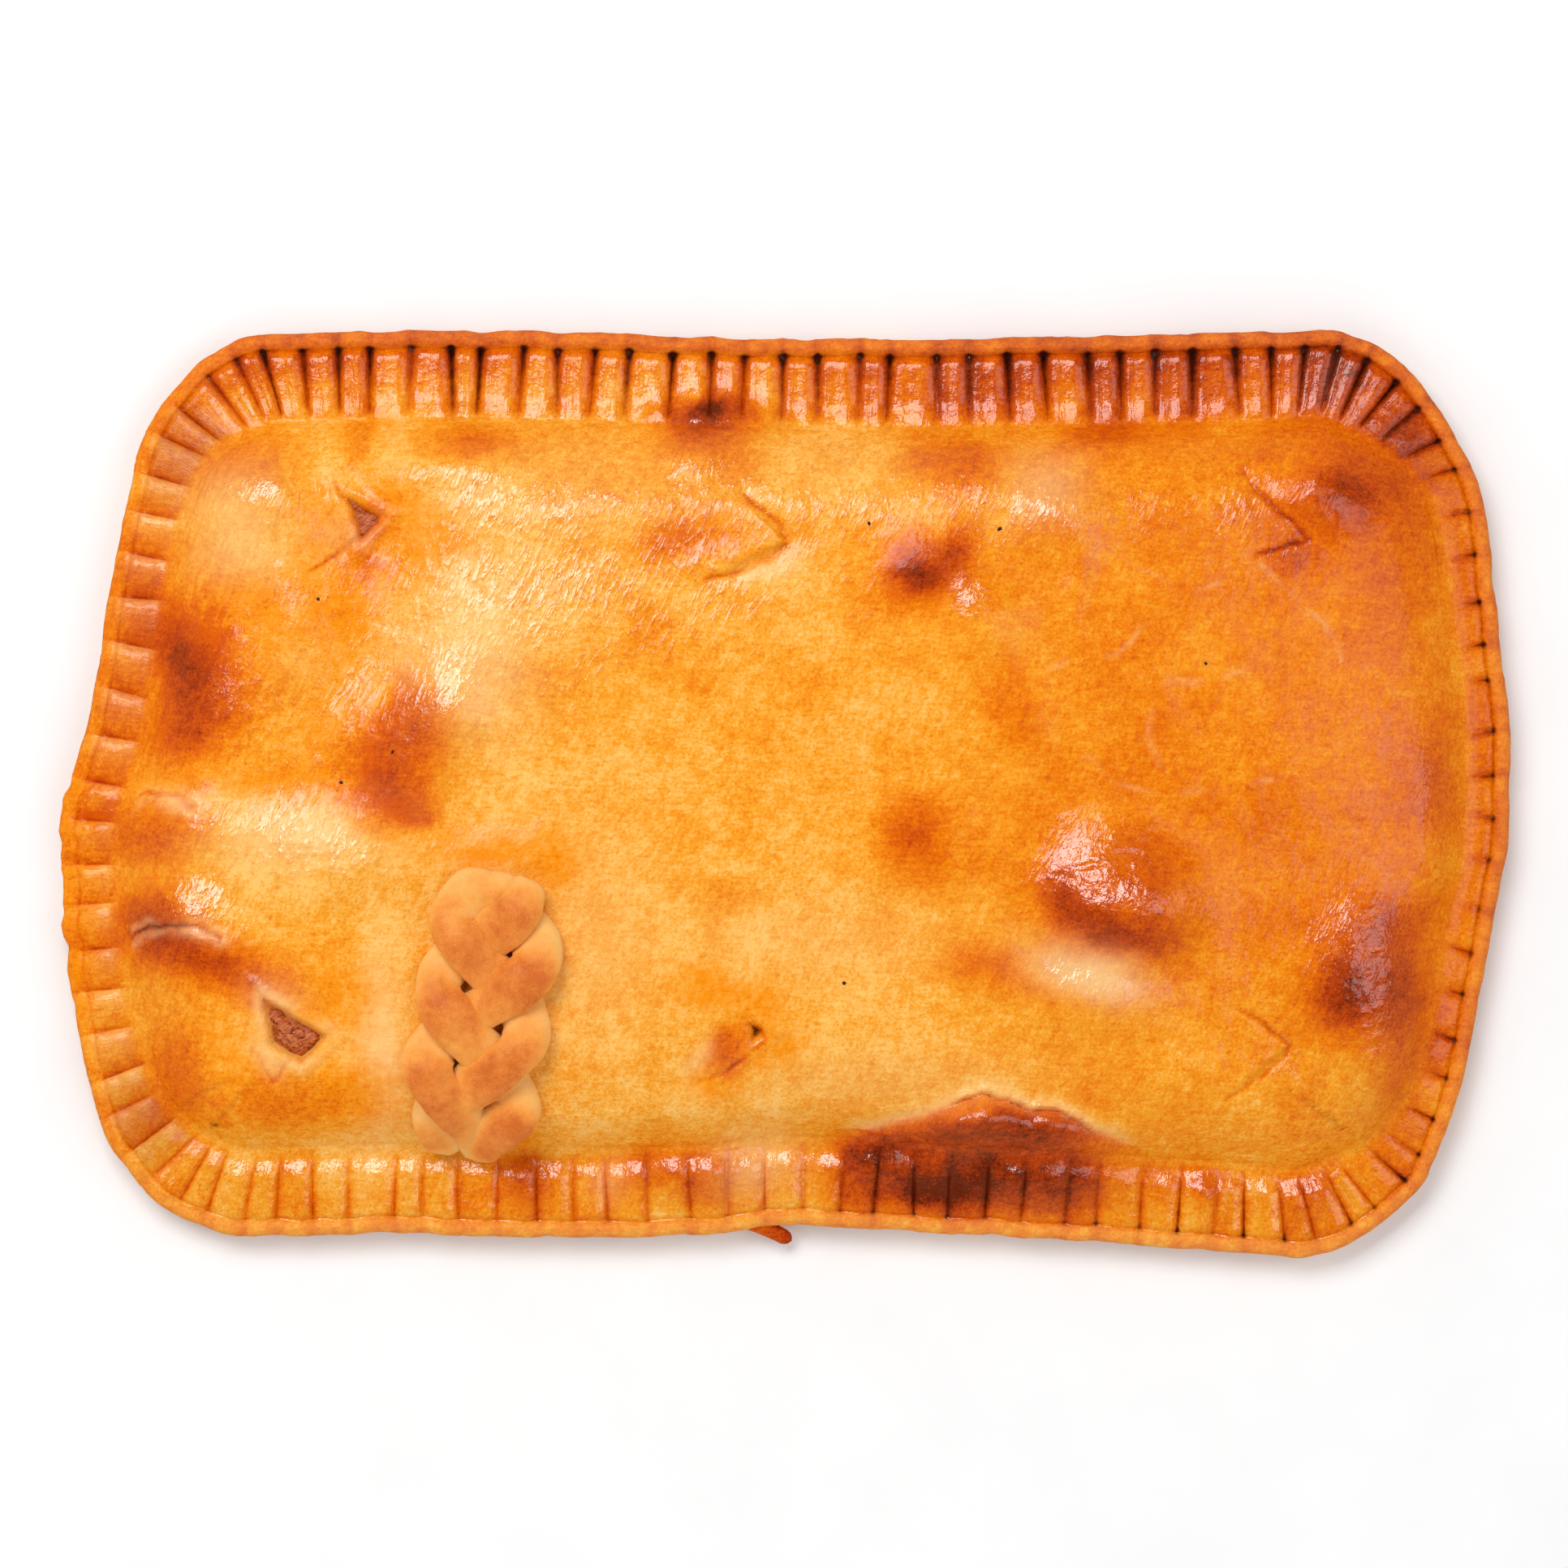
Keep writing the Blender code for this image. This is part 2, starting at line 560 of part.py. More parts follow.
def make_filling(name, corners):
    """A lump of filling that fills the foot of an opening and shows below the lid's surface."""
    material = dough("filling_" + name, FILLING_COLOUR, 0.55)
    surface = float(lid_height(np.array(corners)).mean())
    floor, crown = surface - OPENING_DEPTH + GAP, surface - FILLING_BELOW_LID
    foot = inset_corners(corners, FILLING_SIDE_GAP)
    outline = []
    for a, b in zip(foot, np.roll(foot, -1, 0)):
        outline += [a, a + (b - a) / 3, a + (b - a) * 2 / 3]
    outline = np.array(outline)
    middle = outline.mean(0)
    n = len(outline)
    verts = np.column_stack([outline, np.full(n, floor)]).tolist()
    faces = []
    for share, depth in FILLING_RINGS:
        ring = middle + (outline - middle) * share
        lumps = FILLING_LUMPS * np.sin(np.arange(n) * LUMP_STEP) if share < 1 else np.zeros(n)
        verts.extend(np.column_stack([ring, crown - depth + lumps]).tolist())
    loops = [list(range(i * n, (i + 1) * n)) for i in range(len(FILLING_RINGS) + 1)]
    for a, b in zip(loops, loops[1:]):
        strip(faces, a, b)
    faces += [tuple(loops[0]), tuple(loops[-1])]
    return new_object(name, verts, faces, material)


def main():
    """Builds the pie: the crust, the plait on it and the filling in its open vents."""
    for obj in list(bpy.data.objects):
        bpy.data.objects.remove(obj, do_unlink=True)
    make_crust()
    make_plait()
    for name, corners in OPENINGS.items():
        make_filling(name, corners)


main()
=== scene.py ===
"""Dresses a rectangular baked empanada: its crust, plaited ornament, filling and studio.

Inside the shape functions lengths are in millimetres, and MM turns them into metres.
"""

import math

import bpy
import numpy as np
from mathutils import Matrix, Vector


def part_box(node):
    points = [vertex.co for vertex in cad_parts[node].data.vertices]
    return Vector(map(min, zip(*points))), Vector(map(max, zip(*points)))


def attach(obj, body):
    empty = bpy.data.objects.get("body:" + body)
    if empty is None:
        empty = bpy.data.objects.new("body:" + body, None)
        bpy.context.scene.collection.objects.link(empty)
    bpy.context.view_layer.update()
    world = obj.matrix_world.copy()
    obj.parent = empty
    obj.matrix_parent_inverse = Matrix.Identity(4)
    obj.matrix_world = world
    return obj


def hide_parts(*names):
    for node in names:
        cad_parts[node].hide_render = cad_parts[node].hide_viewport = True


bl_info = {
    "name": "Baked Empanada",
    "version": (1, 0, 0),
    "blender": (4, 5, 0),
    "location": "View3D > Sidebar > Empanada",
    "description": "Models and finishes a rectangular empanada with a fork-crimped rim",
    "category": "Object",
}

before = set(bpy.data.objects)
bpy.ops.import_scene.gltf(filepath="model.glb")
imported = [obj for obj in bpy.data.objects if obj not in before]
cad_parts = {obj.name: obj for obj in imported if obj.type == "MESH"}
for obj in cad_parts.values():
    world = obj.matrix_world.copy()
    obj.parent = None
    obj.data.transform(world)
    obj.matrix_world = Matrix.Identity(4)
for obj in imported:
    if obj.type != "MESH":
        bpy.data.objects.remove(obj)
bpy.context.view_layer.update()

MM = 0.001
TURN = 2 * math.pi
CRUST_LOW, CRUST_HIGH = (np.array(corner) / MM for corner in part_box("crust"))
LENGTH = float(CRUST_HIGH[0] - CRUST_LOW[0])
WIDTH = 192.0

# The points that the pie's outline passes through, clockwise from the top left.
OUTLINE = [
    (-108.3, 94.6), (-85.8, 95.6), (-48.1, 95.4), (2.8, 93.9), (55.8, 94.4), (98.4, 95.4),
    (110.8, 96.0), (117.5, 94.8), (124.7, 91.1), (131.2, 85.2), (137.0, 77.2), (141.5, 68.5),
    (144.6, 60.0), (147.2, 38.1), (149.6, 18.2), (150.0, 4.6), (149.2, -13.0), (146.3, -28.1),
    (140.3, -59.7), (133.4, -78.0), (127.4, -85.4), (120.0, -91.4), (114.0, -94.6), (106.4, -95.9),
    (96.4, -95.3), (72.6, -93.4), (50.3, -91.9), (21.1, -90.3), (-0.7, -89.2), (-14.0, -91.0),
    (-41.6, -91.9), (-82.1, -91.0), (-107.6, -91.6), (-117.0, -90.9), (-129.4, -84.9),
    (-136.6, -76.8), (-140.9, -69.6), (-144.6, -55.5), (-148.5, -33.8), (-149.8, -18.2),
    (-149.0, -2.1), (-145.7, 8.5), (-142.3, 23.5), (-138.8, 46.7), (-135.9, 61.3),
    (-133.0, 72.2), (-127.9, 81.7), (-121.3, 88.7), (-115.2, 92.6),
]
POINTS_PER_SPAN = 24
OUTLINE_STEP = 0.5
DIRECTION_BLEND = 20.0

# The lip is the rolled edge of the base, outside the crimps.
LIP_RADIUS = 2.0
LIP_WIDTH = 3.8
LIP_CENTRE_HEIGHT = 4.6
LIP_HEIGHT = 8.3
FOOT_INSET = 2.8
RIM_HEIGHT = 7.0

CRIMP_LENGTH_LONG_SIDE = 18.5
CRIMP_LENGTH_LEFT_SIDE = 12.5
CRIMP_LENGTH_RIGHT_SIDE = 9.5
CRIMP_PITCH_LONG_SIDE = 7.7
CRIMP_PITCH_SHORT_SIDE = 9.3

DOME_HEIGHT = 26.0
SHOULDER_RISE = 9.0
SHOULDER_WIDTH = 21.0
DOME_POWER = 2.4
DOME_SQUARENESS = 3.6

# Across one crimp the rim's mesh is fine beside the groove and coarser on the ridge.
CRIMP_SAMPLES = (0, 0.035, 0.075, 0.13, 0.21, 0.33, 0.45, 0.57, 0.69, 0.79, 0.87, 0.925, 0.965)
LID_MARGIN = 1.8
LID_FINE_STEP = 0.56
LID_COARSE_STEP = 0.86
# Bands where the lid's mesh is fine, as a middle and a half-width: the cracks and vents lie in them.
LID_FINE_X = ((-105.5, 29.5), (-7.0, 12.0), (98.0, 12.0))
LID_FINE_Y = ((52.0, 14.0), (-15.0, 18.0), (-55.0, 20.0))
LID_FLOOR = 3.1
# How far the lid's border dips under the base's skin.
LID_TUCK = 0.035
BASE_FLOOR = 2.6

# Blisters and swells: centre x, centre y, half-length, half-width, height, turn in degrees.
BLISTERS = (
    (31.0, 47.0, 10.0, 9.0, 1.3, 0),
    (67.5, -21.0, 14.0, 10.5, 4.6, -8),
    (39.0, 65.0, 10.0, 8.0, 1.4, 0),
    (-14.5, 75.5, 12.0, 6.5, 3.2, 0),
    (27.0, -7.0, 11.0, 10.0, 1.0, 0),
    (-73.0, 11.0, 22.0, 8.0, 2.6, 62),
    (-122.0, 20.0, 12.0, 20.0, 1.4, 0),
    (-127.0, -7.0, 15.0, 9.0, 2.2, 0),
    (-127.0, -29.0, 15.0, 10.0, 2.4, 0),
    (-111.0, 64.0, 14.0, 12.0, 2.4, 0),
    (-71.0, 70.0, 13.0, 8.0, 1.8, 0),
    (117.0, -34.0, 11.0, 15.0, 3.2, -20),
    (123.0, -56.0, 10.0, 17.0, 3.0, -10),
    (118.0, 66.0, 18.0, 12.0, 2.0, 0),
    (47.0, -74.0, 21.0, 9.0, 5.0, 0),
    (-19.0, -76.5, 13.0, 7.0, 1.6, 0),
    (-106.0, -46.0, 26.0, 27.0, 2.6, 0),
    (-87.0, 54.0, 12.0, 12.0, -2.2, 0),
    (-98.0, -49.0, 9.0, 9.0, -1.8, 0),
    (-84.0, 34.0, 9.0, 24.0, -1.6, -18),
)
# Lesser lumps of the lid, in the same form, which the solids leave out.
SMALL_SWELLS = (
    (41.0, 35.5, 7.0, 7.0, 1.8, 0), (27.0, 46.0, 6.0, 6.0, 0.6, 0), (48.0, 16.0, 8.0, 7.0, 0.6, 0),
    (44.0, -36.0, 9.0, 6.0, 0.8, 0), (62.0, -42.5, 12.0, 7.5, 2.1, 0), (70.0, -27.0, 11.0, 7.0, 2.0, -8),
    (133.0, -15.0, 8.0, 10.0, 1.3, 0), (133.0, 3.0, 7.0, 8.0, 0.9, 0), (64.0, 70.0, 9.0, 4.5, 0.7, 0),
    (56.0, 57.0, 8.5, 8.0, 2.2, 0), (60.0, 45.0, 2.6, 8.0, 0.7, -14), (-35.0, 58.0, 30.0, 7.0, 0.9, 4),
    (-50.0, 30.0, 14.0, 16.0, 0.8, 30), (-40.0, 8.0, 10.0, 18.0, 0.7, -10),
    (-66.0, 16.0, 5.0, 6.5, 1.2, 60), (-82.0, 13.0, 3.5, 8.0, 0.8, -30), (-30.0, -12.0, 22.0, 9.0, 0.5, 0),
    (15.0, 20.0, 20.0, 16.0, 0.5, 20), (106.0, 4.0, 18.0, 12.0, 1.1, -20), (84.0, -60.0, 16.0, 7.0, 0.8, 0),
    (-94.0, -15.0, 16.0, 8.0, 1.9, 0), (-126.0, -22.5, 10.0, 5.0, 1.2, 0),
    (-120.0, -31.5, 9.0, 3.5, 0.7, 0), (-112.0, -68.0, 10.0, 8.0, 1.0, 0),
    (-78.0, -50.0, 5.0, 20.0, 0.9, -4), (-102.0, 40.0, 6.0, 10.0, 0.9, 0),
    (-58.0, -12.0, 14.0, 5.0, 0.9, 0), (-15.0, 46.0, 6.0, 4.0, 0.7, 20), (-19.0, 68.0, 6.0, 4.0, 1.1, 0),
    (12.0, -17.0, 11.0, 5.0, 0.7, 0), (20.0, -55.0, 14.0, 8.0, 0.5, 0), (-24.0, -64.0, 10.0, 4.0, 0.7, 10),
    (-30.0, -45.0, 12.0, 14.0, 0.5, 0), (117.0, -70.0, 7.0, 1.5, 0.8, 22),
    (112.0, 60.0, 6.0, 13.0, 1.1, 40), (-113.0, 60.0, 9.0, 8.0, 1.0, 0), (-77.0, 66.0, 7.0, 8.0, 1.0, 0),
    (-63.0, 68.0, 8.0, 5.0, 0.8, 0), (54.0, -77.0, 5.0, 8.0, 1.2, 0), (18.0, -75.0, 7.0, 5.0, 1.0, 0),
    (36.0, -68.0, 8.0, 5.0, 1.0, 10), (78.0, -22.0, 9.0, 9.0, 2.2, 0), (58.5, -78.0, 6.5, 8.5, 2.2, 8),
    (40.0, -72.0, 7.0, 6.0, 1.2, 0), (27.0, -73.0, 6.0, 5.0, 1.0, 0), (-88.0, 14.0, 4.0, 9.0, 0.9, -30),
    (-97.0, -6.0, 18.0, 5.0, 1.0, 6), (-99.0, 30.0, 6.0, 8.0, 0.8, 0), (64.0, -8.0, 10.0, 6.0, 0.9, 0),
    (62.5, -19.0, 6.0, 9.0, 0.8, 0), (-125.0, 58.0, 9.0, 14.0, 1.6, 0), (-99.0, 56.0, 6.0, 8.0, 0.8, 0),
)

# Lobes of the burst bubble that swell the bottom rim.
RIM_SWELLS = (
    (54.0, -80.0, 6.5, 6.5, 3.0, 0), (36.0, -70.5, 7.0, 5.5, 2.2, 0), (19.0, -74.5, 6.0, 5.0, 2.0, 0),
    (45.0, -79.0, 4.0, 6.0, 1.2, 0), (28.0, -78.0, 5.0, 5.0, 1.0, 0), (-19.0, -77.5, 10.0, 5.5, 1.5, 0),
    (-53.0, -80.5, 6.0, 6.0, 1.2, 0), (86.5, -82.0, 5.0, 5.0, 1.0, 0), (108.0, -83.0, 5.0, 5.0, 1.0, 0),
)

# How much the dough swells and sinks on the lid: height, size of the swells, seed.
LID_UNEVENNESS = ((0.42, 21.0, 3), (0.15, 6.0, 8))
BRUSH_MARK_HEIGHT = 0.11
GRAIN_RELIEF_HEIGHT = 0.05
PEDESTAL_HEIGHT = 0.6

# Steam vents: each cut's upper arm, tip and lower arm, and how far the flap between them lifts.
VENTS = {
    "upper_left": (((-92.0, 63.8), (-90.8, 61.3), (-88.7, 58.8), (-83.0, 56.0)), 0.4,
                   ((-86.6, 51.9), (-89.8, 49.9), (-92.7, 48.0), (-97.0, 45.2))),
    "upper_middle": (((-8.4, 60.6), (-4.7, 58.1), (-1.5, 55.2), (0.6, 51.2)), 1.5,
                     ((-0.5, 49.5), (-4.7, 47.3), (-9.1, 45.2), (-16.3, 43.5))),
    "upper_right": (((93.7, 65.6), (95.9, 61.9), (103.2, 55.6), (106.9, 51.7)), -0.7,
                    ((102.9, 50.9), (99.1, 49.5), (95.9, 48.9))),
    "lower_left": (((-108.4, -52.0), (-105.6, -56.4), (-104.1, -58.6)), 0.0,
                   ((-103.4, -57.9), (-100.6, -54.2))),
    "lower_middle": (((-10.9, -40.0), (-9.1, -42.5), (-6.9, -45.0), (-3.9, -49.7)), -0.5,
                     ((-5.5, -51.4), (-8.4, -53.5), (-11.9, -56.7), (-17.6, -58.6))),
    "lower_right": (((92.2, -43.5), (95.9, -45.7), (99.1, -48.2), (102.9, -51.0)), 0.9,
                    ((101.6, -53.9), (98.4, -56.7), (94.4, -59.6), (89.7, -62.4))),
}
# Where a vent stands open: the corners of the opening.
OPENINGS = {
    "filling_upper_left": ((-89.2, 60.2), (-82.6, 56.2), (-86.5, 52.0)),
    "filling_lower_left": ((-106.3, -41.5), (-93.0, -49.6), (-98.4, -54.6), (-104.6, -51.0)),
}
SMALL_HOLE = ((-7.0, -46.6), (-4.4, -48.4), (-6.6, -50.0))
OPENING_DEPTH = 3.4
OPENING_RING_HEIGHT = 0.8
VENT_CUT_DEPTH = 0.45
# How far a cut wavers, over what distance, and its seed.
VENT_WAVER = (0.3, 2.4, 31)

# Smooth, taut skin on the blisters, in the form of the blisters: it shines and wrinkles.
SKINS = (
    (67.0, -17.5, 13.0, 11.0, 1.0, -8), (38.0, 40.5, 5.0, 5.0, 0.8, 0), (118.0, -33.0, 9.0, 11.0, 0.9, -20),
    (122.0, -54.0, 9.0, 14.0, 0.9, -10), (45.0, -75.0, 22.0, 11.0, 1.0, 0), (18.0, -73.0, 8.0, 5.0, 0.8, 0),
    (-17.0, 73.0, 9.0, 5.0, 0.7, 0), (-19.0, -77.0, 11.0, 6.0, 0.6, 0), (-70.0, 18.0, 8.0, 6.0, 0.6, 60),
    (-126.0, -24.0, 10.0, 5.0, 0.7, 0), (134.0, 0.0, 6.0, 12.0, 0.5, 0), (-110.0, 66.0, 9.0, 6.0, 0.6, 0),
    (-121.0, 24.0, 8.0, 13.0, 0.35, 0), (61.0, -37.5, 9.0, 4.0, 0.6, -14), (113.0, 60.0, 9.0, 8.0, 0.3, 0),
)

# The burst bubble's torn edge, from left to right.
TEAR = (
    (10.0, -71.5), (16.0, -68.8), (25.6, -66.6), (31.0, -65.6), (35.7, -63.6), (40.0, -61.2),
    (45.8, -61.8), (50.0, -63.6), (56.0, -64.2), (62.5, -68.0), (67.0, -69.6), (72.6, -73.6),
)
TEAR_START, TEAR_END = 8.0, 75.0
TEAR_STEP_HEIGHT = 1.6
TEAR_FLAKE_HEIGHT = 0.9
TEAR_CRACK_DEPTH = 0.8
TEAR_CREASE_DEPTH = 0.5
TEAR_FOLD_HEIGHT = 0.45

# Cracks in the skin: two by the left rim and one on the large blister, and how deep each is.
CRACKS = (
    ((-142.8, -1.4), (-137.8, -2.8), (-130.6, 0.1), (-123.5, -0.6), (-120.5, -3.2)),
    ((-139.0, -29.6), (-134.9, -30.6), (-131.2, -27.7), (-125.5, -26.7), (-118.5, -27.1), (-114.8, -29.3)),
    ((56.0, -16.5), (59.5, -15.0), (64.0, -14.2), (68.0, -11.5), (71.5, -12.4), (74.0, -15.0)),
)
CRACK_DEPTHS = (0.28, 0.16, 0.25)
CRACK_WAVER = (0.6, 1.9, 51)

PLAIT_CENTRE = (-61.5, -45.5)
PLAIT_REACH = 9.6
PLAIT_PERIODS = 1.25
WEAVE_HEIGHT = 2.0
STRAND_CENTRE_HEIGHT = 3.2
STRAND_RINGS = 280
STRAND_SIDES = 48


def linear(red, green, blue):
    """A colour given in the eight-bit steps of a screen, as linear light."""
    values = np.array([red, green, blue]) / 255
    curve = np.where(values <= 0.04045, values / 12.92, ((values + 0.055) / 1.055) ** 2.4)
    return tuple(float(value) for value in curve)


def smoothstep(low, high, value):
    """0 below low, 1 above high, and smooth between."""
    t = np.clip((value - low) / (high - low), 0.0, 1.0)
    return t * t * (3 - 2 * t)


def bell(distance, width, power=2):
    """1 at no distance, falling away smoothly to nearly 0 at twice the width."""
    return np.exp(-((distance / width) ** power))


def by_side(sides, values):
    """A value that differs on the top, right, bottom and left sides, blended where they meet."""
    return sum(value * side for value, side in zip(values, sides))


def lattice_noise(xy, cell, seed):
    """Smooth noise from -1 to 1: random values at a square lattice's corners, blended between."""
    table = np.random.default_rng(seed).uniform(-1, 1, (256, 256))
    place = np.asarray(xy) / cell + 517.3
    whole = np.floor(place).astype(int)
    part = place - whole
    part = part * part * (3 - 2 * part)
    i, j = whole[..., 0] % 256, whole[..., 1] % 256
    u, v = part[..., 0], part[..., 1]
    near = table[i, j] * (1 - u) + table[(i + 1) % 256, j] * u
    far = table[i, (j + 1) % 256] * (1 - u) + table[(i + 1) % 256, (j + 1) % 256] * u
    return near * (1 - v) + far * v


def fractal_noise(xy, cell, seed, octaves=3):
    """Lattice noise summed over octaves, each half as coarse and half as strong."""
    layers = [lattice_noise(xy, cell / 2**k, seed + k) / 2**k for k in range(octaves)]
    return sum(layers) / (2 - 0.5 ** (octaves - 1))


def ring_noise(phase, count, seed):
    """Smooth noise from -1 to 1 round a closed ring, with one random value at each whole phase."""
    values = np.random.default_rng(seed).uniform(-1, 1, count)
    whole = np.floor(phase).astype(int)
    part = phase - whole
    part = part * part * (3 - 2 * part)
    return values[whole % count] * (1 - part) + values[(whole + 1) % count] * part


def closed_curve(points, per_span):
    """A closed Catmull-Rom curve through the points, as an array of x, y."""
    p = np.array(points, float)
    before, after, beyond = np.roll(p, 1, 0), np.roll(p, -1, 0), np.roll(p, -2, 0)
    t = (np.arange(per_span) / per_span)[None, :, None]
    a, b, c, d = (q[:, None, :] for q in (before, p, after, beyond))
    curve = 0.5 * (
        2 * b
        + (c - a) * t
        + (2 * a - 5 * b + 4 * c - d) * t**2
        + (3 * b - a - 3 * c + d) * t**3
    )
    return curve.reshape(-1, 2)


def closed_resample(points, step):
    """Points at even steps along a closed curve."""
    ring = np.vstack([points, points[:1]])
    length = np.concatenate([[0.0], np.cumsum(np.linalg.norm(np.diff(ring, axis=0), axis=1))])
    count = round(length[-1] / step)
    at = np.arange(count) * length[-1] / count
    return np.column_stack([np.interp(at, length, ring[:, axis]) for axis in (0, 1)])


class Edge:
    """The pie's outline at even steps, with the direction of the crimps and their phase.

    The phase grows by 1 from one groove to the next, and grooves lie at whole numbers.
    """

    def __init__(self):
        curve = closed_curve(OUTLINE, POINTS_PER_SPAN)
        low, high = curve.min(0), curve.max(0)
        curve = (curve - (low + high) / 2) * np.array([LENGTH, WIDTH]) / (high - low)
        self.points = closed_resample(curve, OUTLINE_STEP)
        tangent = np.roll(self.points, -1, 0) - np.roll(self.points, 1, 0)
        reach = round(DIRECTION_BLEND / OUTLINE_STEP)
        tangent = sum(np.roll(tangent, k, 0) for k in range(-reach, reach + 1))
        tangent /= np.linalg.norm(tangent, axis=1)[:, None]
        self.inward = np.stack([tangent[:, 1], -tangent[:, 0]], 1)
        facing = np.abs(self.inward[:, 1])
        short = np.where(self.inward[:, 0] > 0, CRIMP_LENGTH_LEFT_SIDE, CRIMP_LENGTH_RIGHT_SIDE)
        self.crimp_length = short + smoothstep(0.10, 0.95, facing) * (CRIMP_LENGTH_LONG_SIDE - short)
        self.pitch = CRIMP_PITCH_SHORT_SIDE + smoothstep(0.10, 0.75, facing) * (
            CRIMP_PITCH_LONG_SIDE - CRIMP_PITCH_SHORT_SIDE
        )
        turned = np.concatenate([[0.0], np.cumsum(OUTLINE_STEP / self.pitch)])
        self.crimps = round(turned[-1])
        self.phase = turned[:-1] * self.crimps / turned[-1]

    def at_phase(self, phase):
        """Points, inward directions, crimp lengths and pitches where the phase has these values."""
        known = np.concatenate([self.phase, [self.crimps]])
        rows = np.column_stack([self.points, self.inward, self.crimp_length, self.pitch])
        rows = np.vstack([rows, rows[:1]])
        found = [np.interp(phase % self.crimps, known, column) for column in rows.T]
        return np.stack(found[:2], -1), np.stack(found[2:4], -1), found[4], found[5]

    def nearest(self, xy):
        """For each point, its distance in from the outline, and the crimps' length there.

        The distance is to the nearer of the two pieces of outline that meet at the nearest point.
        """
        flat = xy.reshape(-1, 2)
        spots = self.points.astype(np.float32)
        index = np.empty(len(flat), int)
        for start in range(0, len(flat), 8192):
            part = flat[start : start + 8192].astype(np.float32)
            gap = (part[:, None, 0] - spots[None, :, 0]) ** 2
            gap += (part[:, None, 1] - spots[None, :, 1]) ** 2
            index[start : start + 8192] = gap.argmin(1)
        inset = np.full(len(flat), np.inf)
        for other in (-1, 1):
            start, end = self.points[index], self.points[(index + other) % len(self.points)]
            along = np.clip(((flat - start) * (end - start)).sum(1) / OUTLINE_STEP**2, 0, 1)
            reach = np.linalg.norm(flat - start - (end - start) * along[:, None], axis=1)
            inset = np.minimum(inset, reach)
        return inset.reshape(xy.shape[:-1]), self.crimp_length[index].reshape(xy.shape[:-1])


EDGE = Edge()


# How square the humps of each table are. A higher power is flatter on top and steeper at the side.
SKIN_POWER = 1.6
STREAKY_POWER = 1.2
BAKING_POWER = 1.1
OIL_POWER = 1.3


def humps(xy, table, power=1.25):
    """A sum of rounded humps, each over a turned ellipse."""
    total = np.zeros(xy.shape[:-1])
    for x, y, half_length, half_width, height, turn in table:
        angle = math.radians(turn)
        dx, dy = xy[..., 0] - x, xy[..., 1] - y
        u = (dx * math.cos(angle) + dy * math.sin(angle)) / half_length
        v = (dy * math.cos(angle) - dx * math.sin(angle)) / half_width
        total += height * np.exp(-((u * u + v * v) ** power))
    return total


def dome(xy, inset, crimp_length):
    """The lid's rise above the rim: the shoulder beside the crimps and the broad dome."""
    past = inset - crimp_length
    soft = 1.0 + 0.28 * (CRIMP_LENGTH_LONG_SIDE - crimp_length)
    t = np.clip((past + np.sqrt(past**2 + soft**2)) / 2 / SHOULDER_WIDTH, 0.0, 1.0)
    shoulder = SHOULDER_RISE * (1 - (1 - t) ** 2.2)
    radius = (
        np.abs(2 * xy[..., 0] / LENGTH) ** DOME_SQUARENESS
        + np.abs(2 * xy[..., 1] / WIDTH) ** DOME_SQUARENESS
    ) ** (1 / DOME_SQUARENESS)
    broad = (DOME_HEIGHT - RIM_HEIGHT - SHOULDER_RISE) * (1 - np.minimum(radius, 1) ** DOME_POWER)
    return shoulder + broad * smoothstep(crimp_length * 0.7, crimp_length + 8, inset)


def rim(inset):
    """The rim's own height: the lip's round top, the crease behind it and the crimped band."""
    over = np.clip(np.abs(inset - LIP_RADIUS) / LIP_RADIUS, 0, 1)
    lip = LIP_CENTRE_HEIGHT + (LIP_HEIGHT - LIP_CENTRE_HEIGHT) * np.sqrt(1 - over**2)
    return np.where(inset < LIP_RADIUS, lip, np.maximum(lip, RIM_HEIGHT - 0.4))


def polyline_distance(xy, line):
    """Each point's distance to a line of joined segments."""
    nearest = np.full(xy.shape[:-1], np.inf)
    for start, end in zip(line, line[1:]):
        start, step = np.array(start), np.array(end) - np.array(start)
        along = np.clip(((xy - start) @ step) / (step @ step), 0, 1)
        reach = np.linalg.norm(xy - start - along[..., None] * step, axis=-1)
        nearest = np.minimum(nearest, reach)
    return nearest


def inside_distance(xy, corners):
    """How deep each point lies inside a convex outline, and negative outside it."""
    depth = np.full(xy.shape[:-1], np.inf)
    corners = np.array(corners)
    middle = corners.mean(0)
    for a, b in zip(corners, np.roll(corners, -1, 0)):
        normal = np.array([a[1] - b[1], b[0] - a[0]])
        normal = normal / np.linalg.norm(normal)
        normal *= np.sign((middle - a) @ normal)
        depth = np.minimum(depth, (xy - a) @ normal)
    return depth


def jittered(xy, amount, cell, seed):
    """Places moved a little by noise, so that a line drawn through them wavers."""
    shift = [lattice_noise(xy, cell, seed), lattice_noise(xy, cell, seed + 1)]
    return xy + amount * np.stack(shift, -1)


